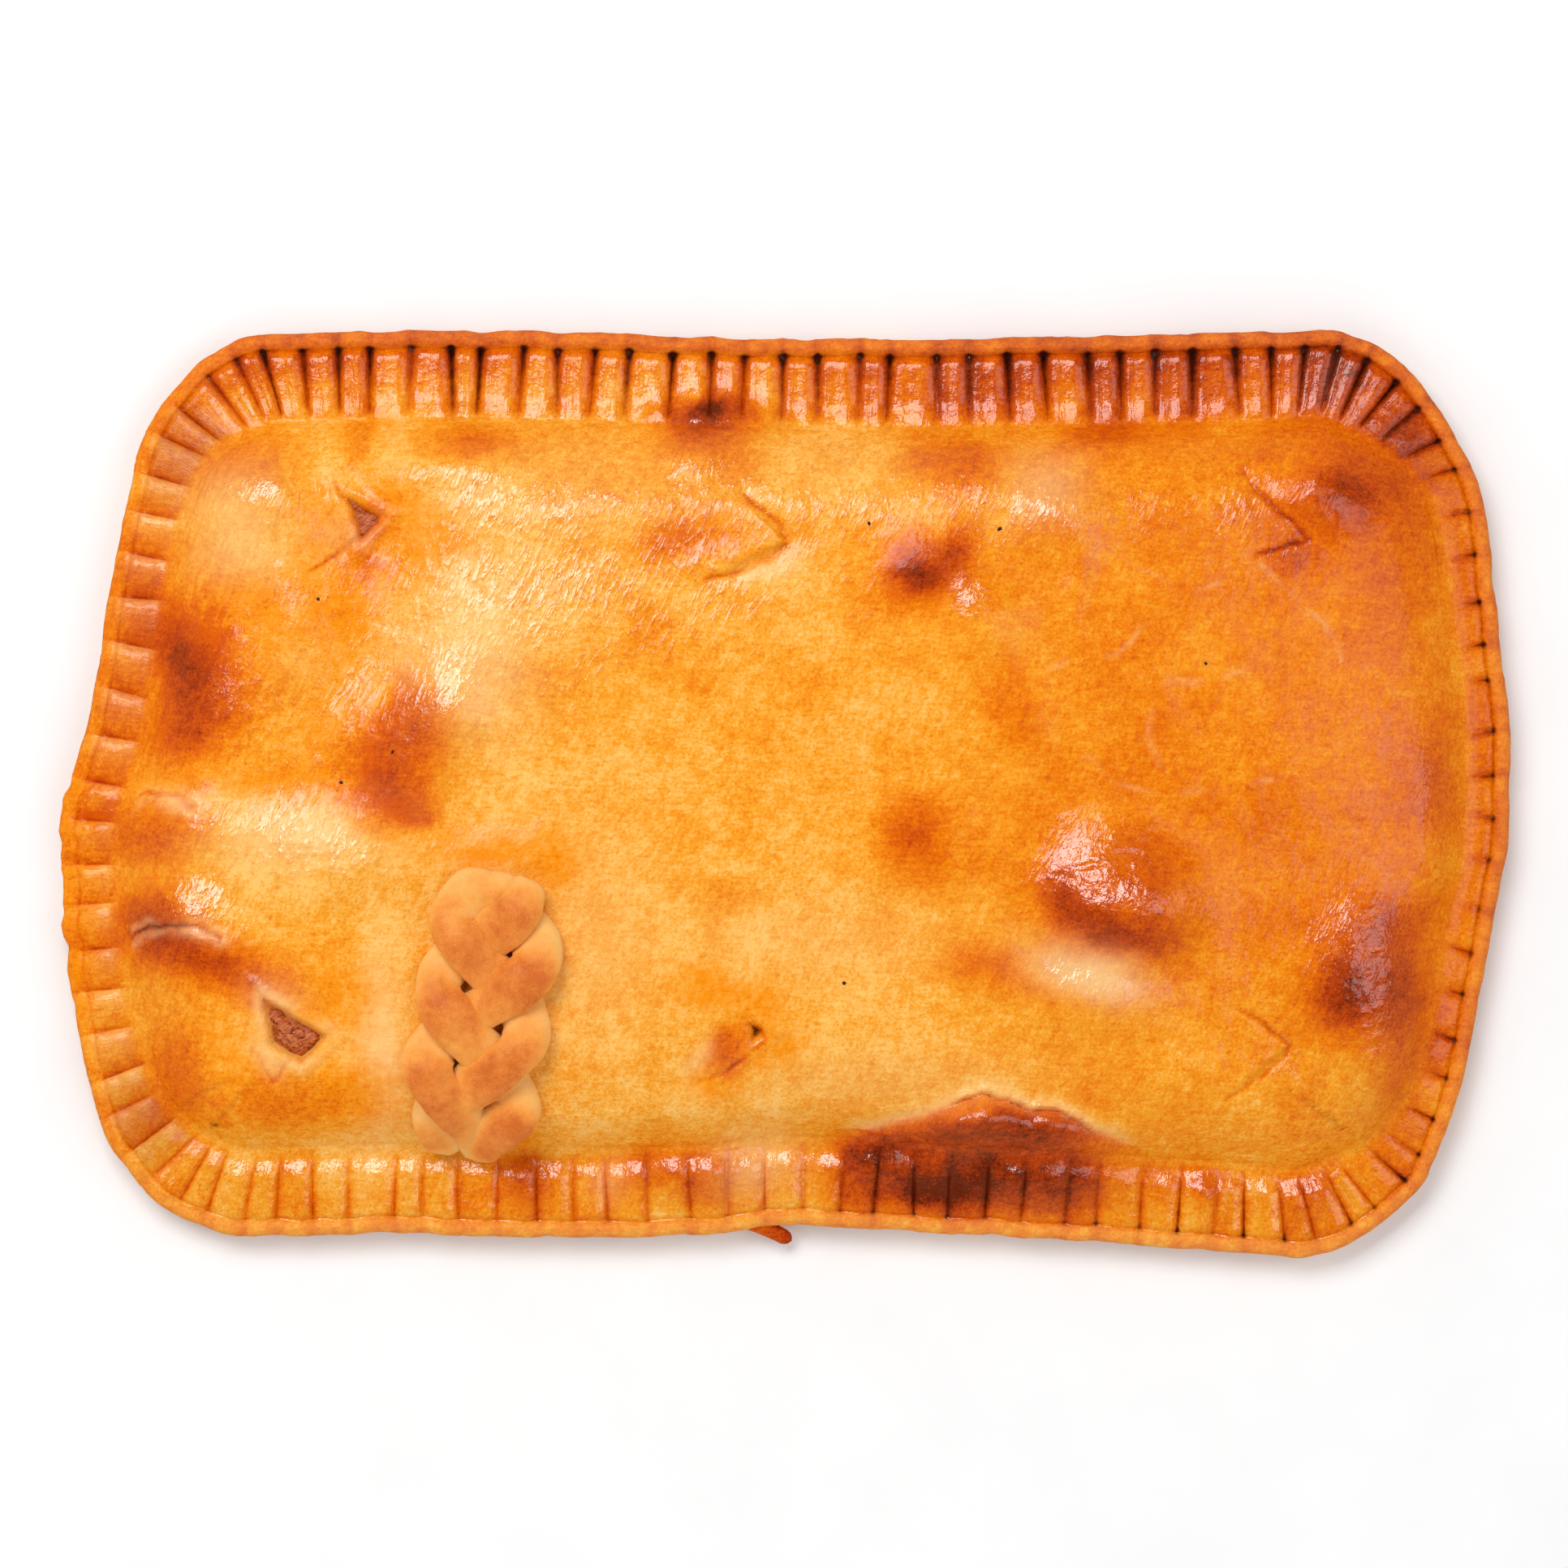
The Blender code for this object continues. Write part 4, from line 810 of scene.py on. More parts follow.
def base_phase_grid(phase, inset, crimp_length):
    """The phase in space of each grid point: grooves are unevenly spaced and slightly slanted."""
    count = EDGE.crimps
    shift = 0.13 * ring_noise(phase, count, 91)
    slant = 0.13 * ring_noise(phase, count, 92) * np.clip(inset / crimp_length, 0, 1.2)
    return phase + shift + slant


# How far in from the outline the base's rings lie: over the lip, past the crimps' inner ends, and on
# the underside.
LIP_INSETS = (2.2, 2.5, 2.8, 3.1, 3.4, 3.7, 4.0, 4.3, 4.7, 5.1, 5.6, 6.2, 7.0)
END_INSETS = (-1.5, -1.0, -0.5, 0.0, 0.4, 0.8, 1.2, 1.6, 2.2, 3.0, 4.0, 5.0)
UNDERSIDE_INSETS = (5.0, 10.0, 18.0, 28.0)
BAND_RINGS = 15
# The lip's outer side in degrees, from near its crest down to its foot.
LIP_ANGLES = range(75, -91, -15)
# How high the band stands against the lip, and how deep the crease between them is, on each side.
SHELF_HEIGHT = (0.0, 0.55, 0.55, 1.25)
CREASE_DEPTH = (0.35, 0.25, 0.20, 0.0)


def crust_base_mesh(look):
    """The rim and underside, as a grid of rings round the pie.

    One parameter is the crimps' phase round the edge, and the other runs from the inner floor up
    over the crimped band, round the lip and under to the flat underside.
    """
    count = EDGE.crimps
    phase = (np.arange(count)[:, None] + np.array(CRIMP_SAMPLES)).ravel()
    _, _, length, _ = EDGE.at_phase(phase)
    share = np.linspace(0, 1, BAND_RINGS + 2)[1:-1]
    start, end = LIP_INSETS[-1], length - 1.9
    insets = [np.full(len(phase), value) for value in LIP_INSETS]
    insets += [start + (end - start) * s for s in share]
    insets += [length + value for value in END_INSETS]
    insets = np.array(insets)[::-1]
    grid = np.broadcast_to(phase, insets.shape)
    spot, inward, crimp, pitch = EDGE.at_phase(base_phase_grid(grid, insets, length))
    sides = side_weights(inward)
    lift, broken = lip_lift(grid, spot, phase * pitch, insets, sides)
    outward = 0.3 * ring_noise(phase * 1.5, count * 3 // 2, 93)
    outward += 0.7 * broken[-1] * lattice_noise(spot[-1], 2.4, 94)
    lip_share = 1 - smoothstep(2.5, 8.0, insets)
    xy = spot + inward * (insets - outward * lip_share)[..., None]
    true_inset, _ = EDGE.nearest(xy)
    true_inset = np.where(insets < 6, insets, true_inset)
    height = lid_form(xy, true_inset, crimp)
    height += lift * (1 - smoothstep(3.2, 6.0, insets))
    height += lid_relief(xy, true_inset, crimp)
    height += look.crimp_depth * crimp_relief(grid, insets, crimp, pitch, xy, sides)
    height -= 0.3 * smoothstep(LID_MARGIN + 0.2, 5.0, insets - crimp)
    height += by_side(sides, SHELF_HEIGHT) * bell(insets - LIP_WIDTH, 1.3)
    height -= by_side(sides, CREASE_DEPTH) * bell(insets - LIP_WIDTH, 0.45)
    top = np.concatenate([xy, height[..., None]], -1)

    spot, inward, _, _ = EDGE.at_phase(base_phase_grid(phase, LIP_RADIUS, length))
    rows = []
    for angle in np.radians(LIP_ANGLES):
        reach = LIP_RADIUS if angle >= 0 else FOOT_INSET
        crest = height[-1] - LIP_CENTRE_HEIGHT if angle >= 0 else LIP_CENTRE_HEIGHT
        swell = outward * max(math.cos(angle), 0.0) ** 0.5 if angle >= 0 else outward * math.cos(angle)
        skin = np.stack([phase * pitch[-1], np.full(len(phase), -2.2 * (TURN / 4 - angle))], -1)
        pebbles = 0.12 * lattice_noise(skin, 1.5, 76) * math.cos(angle)
        offset = reach * (1 - math.cos(angle)) - swell - pebbles
        z = LIP_CENTRE_HEIGHT + crest * math.sin(angle)
        rows.append(np.column_stack([spot + inward * offset[:, None], np.broadcast_to(z, len(phase))]))
    for inset in UNDERSIDE_INSETS:
        rows.append(np.column_stack([spot + inward * inset, np.zeros(len(phase))]))
    wall = np.column_stack([top[0, :, :2], np.full(len(phase), BASE_FLOOR)])
    verts = np.concatenate([wall[None], top, np.array(rows)])
    ring_count, columns = verts.shape[:2]
    points = np.vstack([verts.reshape(-1, 3), [[0, 0, BASE_FLOOR], [0, 0, 0]]])
    faces = ring_faces(ring_count, columns)
    middle = ring_count * columns
    faces += fan_faces(np.arange(columns), middle, flip=True)
    faces += fan_faces(np.arange(middle - columns, middle), middle + 1, flip=False)
    return points, faces, base_tones(verts, top, grid, insets, crimp, pitch, inward)


# What differs in the tones of the rim's top, right, bottom and left sides. Glaze is burnt egg wash,
# browning is how far the crust is baked, and skin is how taut and shiny it is.
CREASE_GLAZE = (0.38, 0.42, 0.20, 0.0)
GLAZE_WIDTH = (0.70, 0.27, 0.27, 0.30)
GROOVE_BROWNING = (0.30, 0.22, 0.20, 0.10)
BAND_BROWNING = (0.04, 0.10, 0.0, 0.07)
BAND_SKIN = (0.20, 0.0, 0.58, 0.0)
LIP_PALENESS = (0.10, 0.12, 0.20, 0.0)


def groove_glaze(xy, phase, inset, length, gap, sides, band):
    """Egg wash that has pooled and burnt in the grooves, most of all in the pits beside the lip.

    Each groove holds a bell across its width, each pit a round blob, and the crease a thin line.
    """
    top_side, right, bottom, left = sides
    x = xy[..., 0]
    eastern = smoothstep(-40, 40, x)
    each = ring_noise(np.round(phase), EDGE.crimps, 101)
    pit = bell(inset - LIP_WIDTH - 0.2, 1.1)
    pooled = 0.45 * top_side + 0.30 * right + (0.12 + 0.18 * eastern) * bottom + 0.08 * left
    pooled = pooled * crimp_strength(xy, phase, EDGE.crimps) * (1 + 0.5 * each)
    fade = 1 - 0.5 * smoothstep(LIP_WIDTH, length - 1, inset)
    fade = fade * (1 - left * smoothstep(length - 6.0, length - 3.5, inset))
    fade = fade * (1 - left * smoothstep(4.4, 3.4, inset))
    width = by_side(sides, GLAZE_WIDTH) + 0.25 * pit * (1 - left)
    blob = (0.35 + 0.45 * smoothstep(-90, 20, x)) * top_side
    blob += (0.03 + 0.22 * eastern) * bottom + 0.30 * right
    blob *= (1 + 0.4 * each) * pit * bell(gap, 0.75 * top_side + 0.50 * (1 - top_side))
    crease = bell(inset - LIP_WIDTH + 0.1, 0.42) * by_side(sides, CREASE_GLAZE)
    crease *= 0.55 + 0.6 * bell(gap, 1.4)
    return np.clip(band * pooled * fade * bell(gap, width) + blob + crease, 0, 1)


def band_browning(brown, xy, phase, inset, length, gap, sides, band):
    """The crimped band's browning: more beside the grooves and towards the lip, and painted light and shade
    on the left's pillows.
    """
    top_side, _, bottom, left = sides
    baked = smoothstep(0.14, 0.38, humps(xy, BROWN_MARKS, BAKING_POWER))
    fade = 1 - 0.5 * smoothstep(LIP_WIDTH, length - 1, inset)
    beside = band * fade * bell(gap, 1.7 * top_side + 1.0 * (1 - top_side))
    brown = brown + beside * by_side(sides, GROOVE_BROWNING)
    brown += band * 0.14 * top_side * (1 - smoothstep(LIP_WIDTH, LIP_WIDTH + 9, inset))
    brown += band * 0.09 * ring_noise(np.floor(phase), EDGE.crimps, 102)
    paler = 0.05 * bottom * smoothstep(-20, 40, xy[..., 0])
    brown += band * (1 - baked) * (by_side(sides, BAND_BROWNING) - paler)
    # On the left each pillow is painted darker at its lower end and paler under the next slit. This is
    # painted shade on its slow climb and painted light on the steep face turned to the key light.
    pillow = left * smoothstep(0.8, 3.6, inset) * (1 - smoothstep(length - 3.0, length + 0.8, inset))
    rise = (phase - np.floor(phase)) * pillow
    return brown - 0.22 * (rise - 0.45 * pillow), rise


def lip_browning(brown, xy, gap, sides):
    """The lip's browning: darker along the top and beside the grooves, and mottled."""
    top_side, right, _, left = sides
    lip = 0.30 + 0.22 * top_side + 0.12 * right + 0.25 * (brown - 0.3) + 0.07 * fractal_noise(xy, 4.0, 103)
    lip += 0.12 * bell(gap, 1.3) + 0.08 * lattice_noise(xy, 1.6, 104)
    return lip * (1 - left) + left * (brown + 0.05)


def base_tones(verts, top, grid, insets, crimp, pitch, inward):
    """The rim's tones, ring by ring, each with its values on the two points that close the base."""
    rings = verts.shape[:2]
    xy = verts[..., :2]
    inset = np.full(rings, LIP_RADIUS)
    inset[0], inset[1 : 1 + len(top)] = insets[0], insets
    length, phase, wide = (np.broadcast_to(rows[0], rings) for rows in (crimp, grid, pitch))
    gap = np.abs(phase - np.round(phase)) * wide
    sides = [np.broadcast_to(side, rings) for side in side_weights(inward)]
    left = sides[3]
    band = smoothstep(LIP_WIDTH - 1.0, LIP_WIDTH + 0.4, inset)
    band = band * (1 - smoothstep(length - 3.0, length + 0.8, inset))
    on_lip = 1 - smoothstep(LIP_WIDTH - 1.0, LIP_WIDTH - 0.2, inset)
    brown, oil, pale = crust_tones(xy, inset, length)
    brown, rise = band_browning(brown, xy, phase, inset, length, gap, sides, band)
    brown = brown * (1 - on_lip) + on_lip * lip_browning(brown, xy, gap, sides)
    under = np.zeros(rings)
    under[1 + len(top) :] = smoothstep(3.5, 0.8, verts[1 + len(top) :, :, 2])
    # The rise term is painted light: the left pillows grow paler towards their upper ends, under the next
    # slit.
    pale = pale * (1 - 0.6 * on_lip) + on_lip * by_side(sides, LIP_PALENESS) + 0.45 * rise**2
    skin = np.maximum((by_side(sides, BAND_SKIN) + 0.16) * band, humps(xy, SKINS, SKIN_POWER))
    tones = {
        "browning": (brown, 0.3, 0.45),
        "oil": (oil * (1 - 0.4 * on_lip * (1 - left)), 0.0, 0.0),
        # The pale tone holds painted sheen from some pale marks and the pillows' painted light.
        "pale": (pale, 0.0, 0.0),
        "glaze": (groove_glaze(xy, phase, inset, length, gap, sides, band), 0.0, 0.0),
        "dull": (np.clip(0.45 * on_lip * (1 - left) + under, 0, 1), 1.0, 1.0),
        "under": (under, 0.0, 1.0),
        "skin": (np.clip(skin, 0, 1), 0.0, 0.0),
        "streaky": (0.12 * band + (1 - band) * streakiness(xy), 0.0, 0.0),
        "veined": (np.zeros(rings), 0.0, 0.0),
        "across": (phase * pitch[0], 0.0, 0.0),
        "inset": (inset, 0.0, 0.0),
        "rim": (band, 0.0, 0.0),
    }
    return {name: np.concatenate([ring.ravel(), ends]) for name, (ring, *ends) in tones.items()}


def graded_lines(low, high, bands):
    """Positions from low to high, closely spaced inside the bands and widely outside them."""
    x = np.linspace(low, high, 2000)
    fine = np.zeros(len(x))
    for middle, half in bands:
        fine = np.maximum(fine, smoothstep(half + 5, half, np.abs(x - middle)))
    step = LID_COARSE_STEP + (LID_FINE_STEP - LID_COARSE_STEP) * fine
    count = np.concatenate([[0.0], np.cumsum((x[1:] - x[:-1]) / step[1:])])
    return np.interp(np.linspace(0, count[-1], round(count[-1]) + 1), count, x)


def lid_grid():
    """The x, y of the lid's grid, blended from its four border curves.

    Each point is the blend of the opposite borders in both directions, less the blend of the
    four corners.
    """
    border = EDGE.points + EDGE.inward * (EDGE.crimp_length + LID_MARGIN)[:, None]
    scaled = border / np.array([LENGTH, WIDTH])
    corner = [int((scaled @ np.array(way)).argmax()) for way in ((-1, 1), (1, 1), (1, -1), (-1, -1))]

    def side(start, end, axis, share):
        count = (end - start) % len(border) + 1
        part = border[(start + np.arange(count)) % len(border)]
        if part[0, axis] > part[-1, axis]:
            part = part[::-1]
        at = part[0, axis] + share * (part[-1, axis] - part[0, axis])
        monotonic = np.maximum.accumulate(part[:, axis] + np.arange(len(part)) * 1e-9)
        other = np.interp(at, monotonic, part[:, 1 - axis])
        return np.stack([at, other] if axis == 0 else [other, at], -1)

    low, high = border.min(0), border.max(0)
    xs = graded_lines(low[0], high[0], LID_FINE_X)
    ys = graded_lines(low[1], high[1], LID_FINE_Y)
    u, v = (xs - low[0]) / (high[0] - low[0]), (ys - low[1]) / (high[1] - low[1])
    top_left, top_right, bottom_right, bottom_left = corner
    top, bottom = side(top_left, top_right, 0, u), side(bottom_right, bottom_left, 0, u)
    right, left = side(top_right, bottom_right, 1, v), side(bottom_left, top_left, 1, v)
    u, v = u[:, None, None], v[None, :, None]
    blend = (1 - v) * bottom[:, None] + v * top[:, None] + (1 - u) * left[None] + u * right[None]
    corners = (1 - u) * (1 - v) * bottom[0] + u * (1 - v) * bottom[-1]
    corners = corners + (1 - u) * v * top[0] + u * v * top[-1]
    return blend - corners


def crust_lid_mesh():
    """The domed lid: a grid over the pie whose height is the sum of its form and its relief."""
    xy = lid_grid()
    inset, crimp_length = EDGE.nearest(xy)
    form = lid_form(xy, inset, crimp_length)
    relief = lid_relief(xy, inset, crimp_length)
    relief -= LID_TUCK * (1 - smoothstep(LID_MARGIN, LID_MARGIN + 1.5, inset - crimp_length))
    top = np.concatenate([xy, (form + relief)[..., None]], -1)
    rows, columns = top.shape[:2]
    number = np.arange(rows * columns).reshape(rows, columns)
    loop = np.concatenate([number[:, 0], number[-1, 1:], number[-2::-1, -1], number[0, -2:0:-1]])
    flat = top.reshape(-1, 3)
    skirt = flat[loop].copy()
    skirt[:, 2] = LID_FLOOR
    points = np.vstack([flat, skirt, [[0, 0, LID_FLOOR]]])
    lower = np.arange(len(flat), len(flat) + len(loop))
    wall = np.stack([loop, lower, np.roll(lower, -1), np.roll(loop, -1)], -1).tolist()
    faces = sheet_faces(rows, columns) + wall + fan_faces(lower, len(points) - 1, flip=True)
    tones = lid_tones(xy, inset, crimp_length)
    extra = len(points) - rows * columns
    padded = {name: np.concatenate([values.ravel(), np.zeros(extra)]) for name, values in tones.items()}
    return points, faces, padded


VEIN_WIDTH = 0.55


def lid_tones(xy, inset, crimp_length):
    """The lid's tones: the baking marks, and what the vents, cracks, veins and the tear add.

    A cut is browned and dull. Round an opening and beside a crack the dough is pale and crumbly, and
    above the torn edge it is pale and hardly baked.
    """
    brown, oil, pale = crust_tones(xy, inset, crimp_length)
    openings = np.max([inside_distance(xy, corners) for corners in OPENINGS.values()], 0)
    hollow = smoothstep(0.0, 0.8, openings)
    ring = bell(openings + 1.3, 1.2) * np.clip(0.5 + 0.9 * lattice_noise(xy, 4.5, 36), 0, 1)
    wavy = jittered(xy, *VENT_WAVER)
    cut = np.zeros(brown.shape)
    for upper, _, lower in VENTS.values():
        away = polyline_distance(wavy, (*upper, *lower))
        cut = np.maximum(cut, bell(away, 0.45))
    cut *= 0.55 + 0.4 * lattice_noise(xy, 3.0, 33)
    # The small hole is darkened through the glaze tone: painted shade in the hole.
    hole_shade = smoothstep(-0.3, 0.5, inside_distance(xy, SMALL_HOLE))
    below, share = tear_place(xy)
    torn_lip = bell(below + 0.9, 1.3) * share
    brown = brown * (1 - 0.7 * share * smoothstep(0.3, -1.5, below) * smoothstep(-7.0, -2.0, below))
    brown = brown + 0.42 * cut
    crack, line_dull = np.zeros(brown.shape), np.zeros(brown.shape)
    for path in CRACKS[:2]:
        away = polyline_distance(jittered(xy, *CRACK_WAVER), path)
        crumbs = 0.6 + 0.6 * lattice_noise(xy, 1.4, 35)
        crack = np.maximum(crack, np.clip(crumbs, 0, 1) * bell(away - 1.3, 0.9))
        brown += 0.32 * bell(away, 0.40)
        line_dull = np.maximum(line_dull, bell(away, 0.7))
    winding = jittered(xy, 2.2, 7.0, 37)
    veins = np.max([bell(polyline_distance(winding, line), VEIN_WIDTH) for line in VEINS], 0)
    veins *= np.clip(0.55 + lattice_noise(xy, 4.0, 39), 0, 1)
    return {
        "browning": brown,
        "oil": oil,
        # The pale tone also carries the painted sheen of some pale marks.
        "pale": np.clip(pale + 0.40 * crack + 0.5 * torn_lip + 0.6 * ring, 0, 1),
        "glaze": np.clip(0.30 * cut + 0.6 * hole_shade, 0, 1),
        "dull": np.clip(0.5 * hollow + 0.9 * line_dull + 0.6 * cut, 0, 1),
        "under": np.zeros(brown.shape),
        "skin": np.clip(humps(xy, SKINS, SKIN_POWER), 0, 1),
        "streaky": streakiness(xy),
        "veined": veins,
    }


def tube(centres, half_widths, half_heights, sides, power=1.0):
    """A closed tube: an upright rounded ellipse is carried along a path, with a point at each end."""
    direction = np.gradient(centres, axis=0)
    direction[:, 2] = 0
    direction /= np.linalg.norm(direction, axis=1)[:, None]
    side = np.column_stack([-direction[:, 1], direction[:, 0], np.zeros(len(centres))])
    angle = -np.arange(sides) * TURN / sides
    cosine = np.sign(np.cos(angle)) * np.abs(np.cos(angle)) ** power
    sine = np.sign(np.sin(angle)) * np.abs(np.sin(angle)) ** power
    rings = (
        centres[:, None, :]
        + side[:, None, :] * (cosine[None, :] * half_widths[:, None])[..., None]
        + np.array([0, 0, 1.0]) * (sine[None, :] * half_heights[:, None])[..., None]
    )
    return rings, direction


def close_tube(rings, direction, reach):
    """Points and faces of a tube's rings, with each end closed by a fan."""
    rows, sides = rings.shape[:2]
    ends = [rings[0].mean(0) - direction[0] * reach, rings[-1].mean(0) + direction[-1] * reach]
    points = np.vstack([rings.reshape(-1, 3), ends])
    faces = ring_faces(rows, sides)
    faces += fan_faces(np.arange(sides), rows * sides, flip=True)
    faces += fan_faces(np.arange((rows - 1) * sides, rows * sides), rows * sides + 1, flip=False)
    return points, faces


def strand_mesh(strand, plait):
    """One strand of the plait.

    Its centre line swings from side to side as a sine, while it rises and dips twice as often. Its
    underside is pressed flat on the lid.
    """
    t = np.linspace(0, 1, STRAND_RINGS)
    phase = TURN * (PLAIT_PERIODS * t + strand / 3)
    pinch = smoothstep(0, 0.22, t) * smoothstep(0, 0.22, 1 - t)
    across = PLAIT_REACH * (0.42 + 0.58 * pinch) * np.sin(phase)
    half_width, half_height = plait.strand_width / MM / 2, plait.strand_height / MM / 2
    along = (t - 0.5) * (plait.length / MM - half_width)
    x = PLAIT_CENTRE[0] + along * math.sin(plait.lean) + across * math.cos(plait.lean)
    y = PLAIT_CENTRE[1] + along * math.cos(plait.lean) - across * math.sin(plait.lean)
    xy = np.column_stack([x, y])
    weave = WEAVE_HEIGHT * np.sin(2 * phase) * smoothstep(0, 0.15, t) * smoothstep(0, 0.15, 1 - t)
    z = smooth_lid_height(xy) + STRAND_CENTRE_HEIGHT + weave
    ends = np.sqrt(np.clip(1 - np.clip(1 - np.minimum(t, 1 - t) / 0.07, 0, 1) ** 2, 0.03, 1))
    thick = 1 + 0.06 * np.sin(t * 17 + strand * 2.1) + 0.04 * np.sin(t * 41 + strand)
    size = ends * thick
    centres = np.column_stack([xy, z])
    rings, direction = tube(centres, half_width * size, half_height * size, STRAND_SIDES, 0.92)
    flat = rings[..., :2]
    middle = rings.mean(1, keepdims=True)
    lump = 0.16 * fractal_noise(flat + 40 * strand, 3.4, 111) + 0.05 * fractal_noise(flat, 1.1, 114)
    outward = rings - middle
    outward /= np.linalg.norm(outward, axis=-1, keepdims=True) + 1e-9
    rings = rings + outward * (lump * ends[:, None])[..., None]
    bed = smooth_lid_height(rings[..., :2])
    rings[..., 2] = np.maximum(rings[..., 2], bed - 0.45)
    points, faces = close_tube(rings, direction, 0.3)
    rise = rings[..., 2] - bed
    toast = 0.85 * smoothstep(3.0, 8.0, rise + 1.0 * fractal_noise(flat, 7.0, 117))
    toast += 0.26 * fractal_noise(flat, 6.0, 120)
    tones = {"toast": np.concatenate([np.clip(toast, 0, 1).ravel(), [0.3, 0.3]])}
    return points, faces, tones


BLOB_RINGS, BLOB_SIDES = 12, 16


def blob_rows(centres, radii, turns, seed):
    """Lumpy ellipsoids, one for each centre, as an array of rings of points.

    Each is a ball scaled by its three radii and swelled by sines of its longitude and latitude.
    """
    rng = np.random.default_rng(seed)
    latitude = np.linspace(0.04, math.pi - 0.04, BLOB_RINGS)
    longitude = -np.arange(BLOB_SIDES) * TURN / BLOB_SIDES
    ball = np.stack(
        [
            np.sin(latitude)[:, None] * np.cos(longitude),
            np.sin(latitude)[:, None] * np.sin(longitude),
            np.broadcast_to(-np.cos(latitude)[:, None], (BLOB_RINGS, BLOB_SIDES)),
        ],
        -1,
    )
    balls = ball[None] * radii[:, None, None, :]
    wave = rng.uniform(0, TURN, (len(centres), 1, 1))
    ripple = 1 + 0.14 * np.sin(5 * longitude + wave) * np.sin(latitude)[None, :, None]
    ripple = ripple + 0.10 * np.sin(9 * latitude[None, :, None] + 2 * wave)
    balls = balls * ripple[..., None]
    cosine, sine = np.cos(turns)[:, None, None], np.sin(turns)[:, None, None]
    x = balls[..., 0] * cosine - balls[..., 1] * sine
    y = balls[..., 0] * sine + balls[..., 1] * cosine
    return np.stack([x, y, balls[..., 2]], -1) + centres[:, None, None, :]


def blobs_mesh(centres, radii, turns, seed):
    """Closed lumpy ellipsoids joined in one mesh."""
    balls = blob_rows(centres, radii, turns, seed)
    points, faces = [], []
    for ball in balls:
        first = sum(len(part) for part in points)
        part, part_faces = close_tube(ball, np.array([[0, 0, 1.0], [0, 0, 1.0]]), 0.0)
        points.append(part)
        faces += [[index + first for index in face] for face in part_faces]
    return np.vstack(points), faces


def filling_mesh(corners, seed, filling):
    """Shreds and lumps of filling heaped inside an opening, just below the lid."""
    rng = np.random.default_rng(seed)
    corners = np.array(corners)
    middle = corners.mean(0)
    weights = rng.dirichlet(np.ones(len(corners)) * 0.9, filling.shred_count)
    spots = weights @ corners
    spots = middle + (spots - middle) * 0.82
    surface = smooth_lid_height(corners).mean()
    z = surface - 2.3 + rng.uniform(-1.0, 0.7, len(spots))
    half_length = filling.shred_length / MM / 2
    radii = [rng.uniform(low, high, len(spots)) for low, high in ((0.67, 1.33), (0.6, 1.1), (0.6, 1.0))]
    radii = np.column_stack([half_length * radii[0], radii[1], radii[2]])
    bulk = np.array([[*middle, surface - 3.6]])
    half = (corners.max(0) - corners.min(0)) * 0.36
    centres = np.vstack([bulk, np.column_stack([spots, z])])
    radii = np.vstack([[half[0], half[1], 1.6], radii])
    turns = np.concatenate([[0.0], rng.uniform(-0.9, 0.5, len(spots))])
    return blobs_mesh(centres, radii, turns, seed + 1)


TAIL_START, TAIL_END = (-11.0, -87.4, 5.4), (1.3, -92.8, 2.9)
TAIL_RINGS, TAIL_SIDES = 60, 28


def lip_tail_mesh():
    """The tail of dough where the lip's two ends meet: a tapered tube that points out and down."""
    t = np.linspace(0, 1, TAIL_RINGS)
    start, end = np.array(TAIL_START), np.array(TAIL_END)
    centres = start + (end - start) * t[:, None]
    centres[:, 1] += 0.5 * np.sin(t * math.pi)
    taper = np.sqrt(np.clip(1 - np.clip((t - 0.86) / 0.14, 0, 1) ** 2, 0.02, 1)) * (1 - 0.22 * t)
    rings, direction = tube(centres, 1.95 * taper, 1.9 * taper, TAIL_SIDES)
    rings[..., 2] += 0.12 * fractal_noise(rings[..., :2], 1.6, 131)
    points, faces = close_tube(rings, direction, 0.15)
    unmarked = ("oil", "pale", "glaze", "under", "skin", "streaky", "veined")
    tones = {name: np.zeros(len(points)) for name in unmarked}
    tones["browning"] = np.concatenate([np.repeat(0.45 + 0.35 * t, TAIL_SIDES), [0.45, 0.8]])
    tones["dull"] = np.full(len(points), 0.6)
    return points, faces, tones


SPECKS = ((17.1, 54.8), (43.6, 53.7), (85.5, 26.4), (-95.0, 39.5), (-90.2, 2.2), (-79.5, 8.4), (12.0, -38.5))


def specks_mesh(specks):
    """Tiny dark specks of spice lying in the lid's surface."""
    rng = np.random.default_rng(141)
    xy = np.array(SPECKS)
    inset, crimp_length = EDGE.nearest(xy)
    z = lid_form(xy, inset, crimp_length) + lid_relief(xy, inset, crimp_length)
    half_width = specks.width / MM / 2
    radii = [rng.uniform(low, high, len(xy)) for low, high in ((0.72, 1.28), (0.64, 1.03))]
    radii = half_width * np.column_stack([*radii, np.full(len(xy), 0.36)])
    centres = np.column_stack([xy, z + 0.03])
    return blobs_mesh(centres, radii, rng.uniform(0, 3, len(xy)), 142)


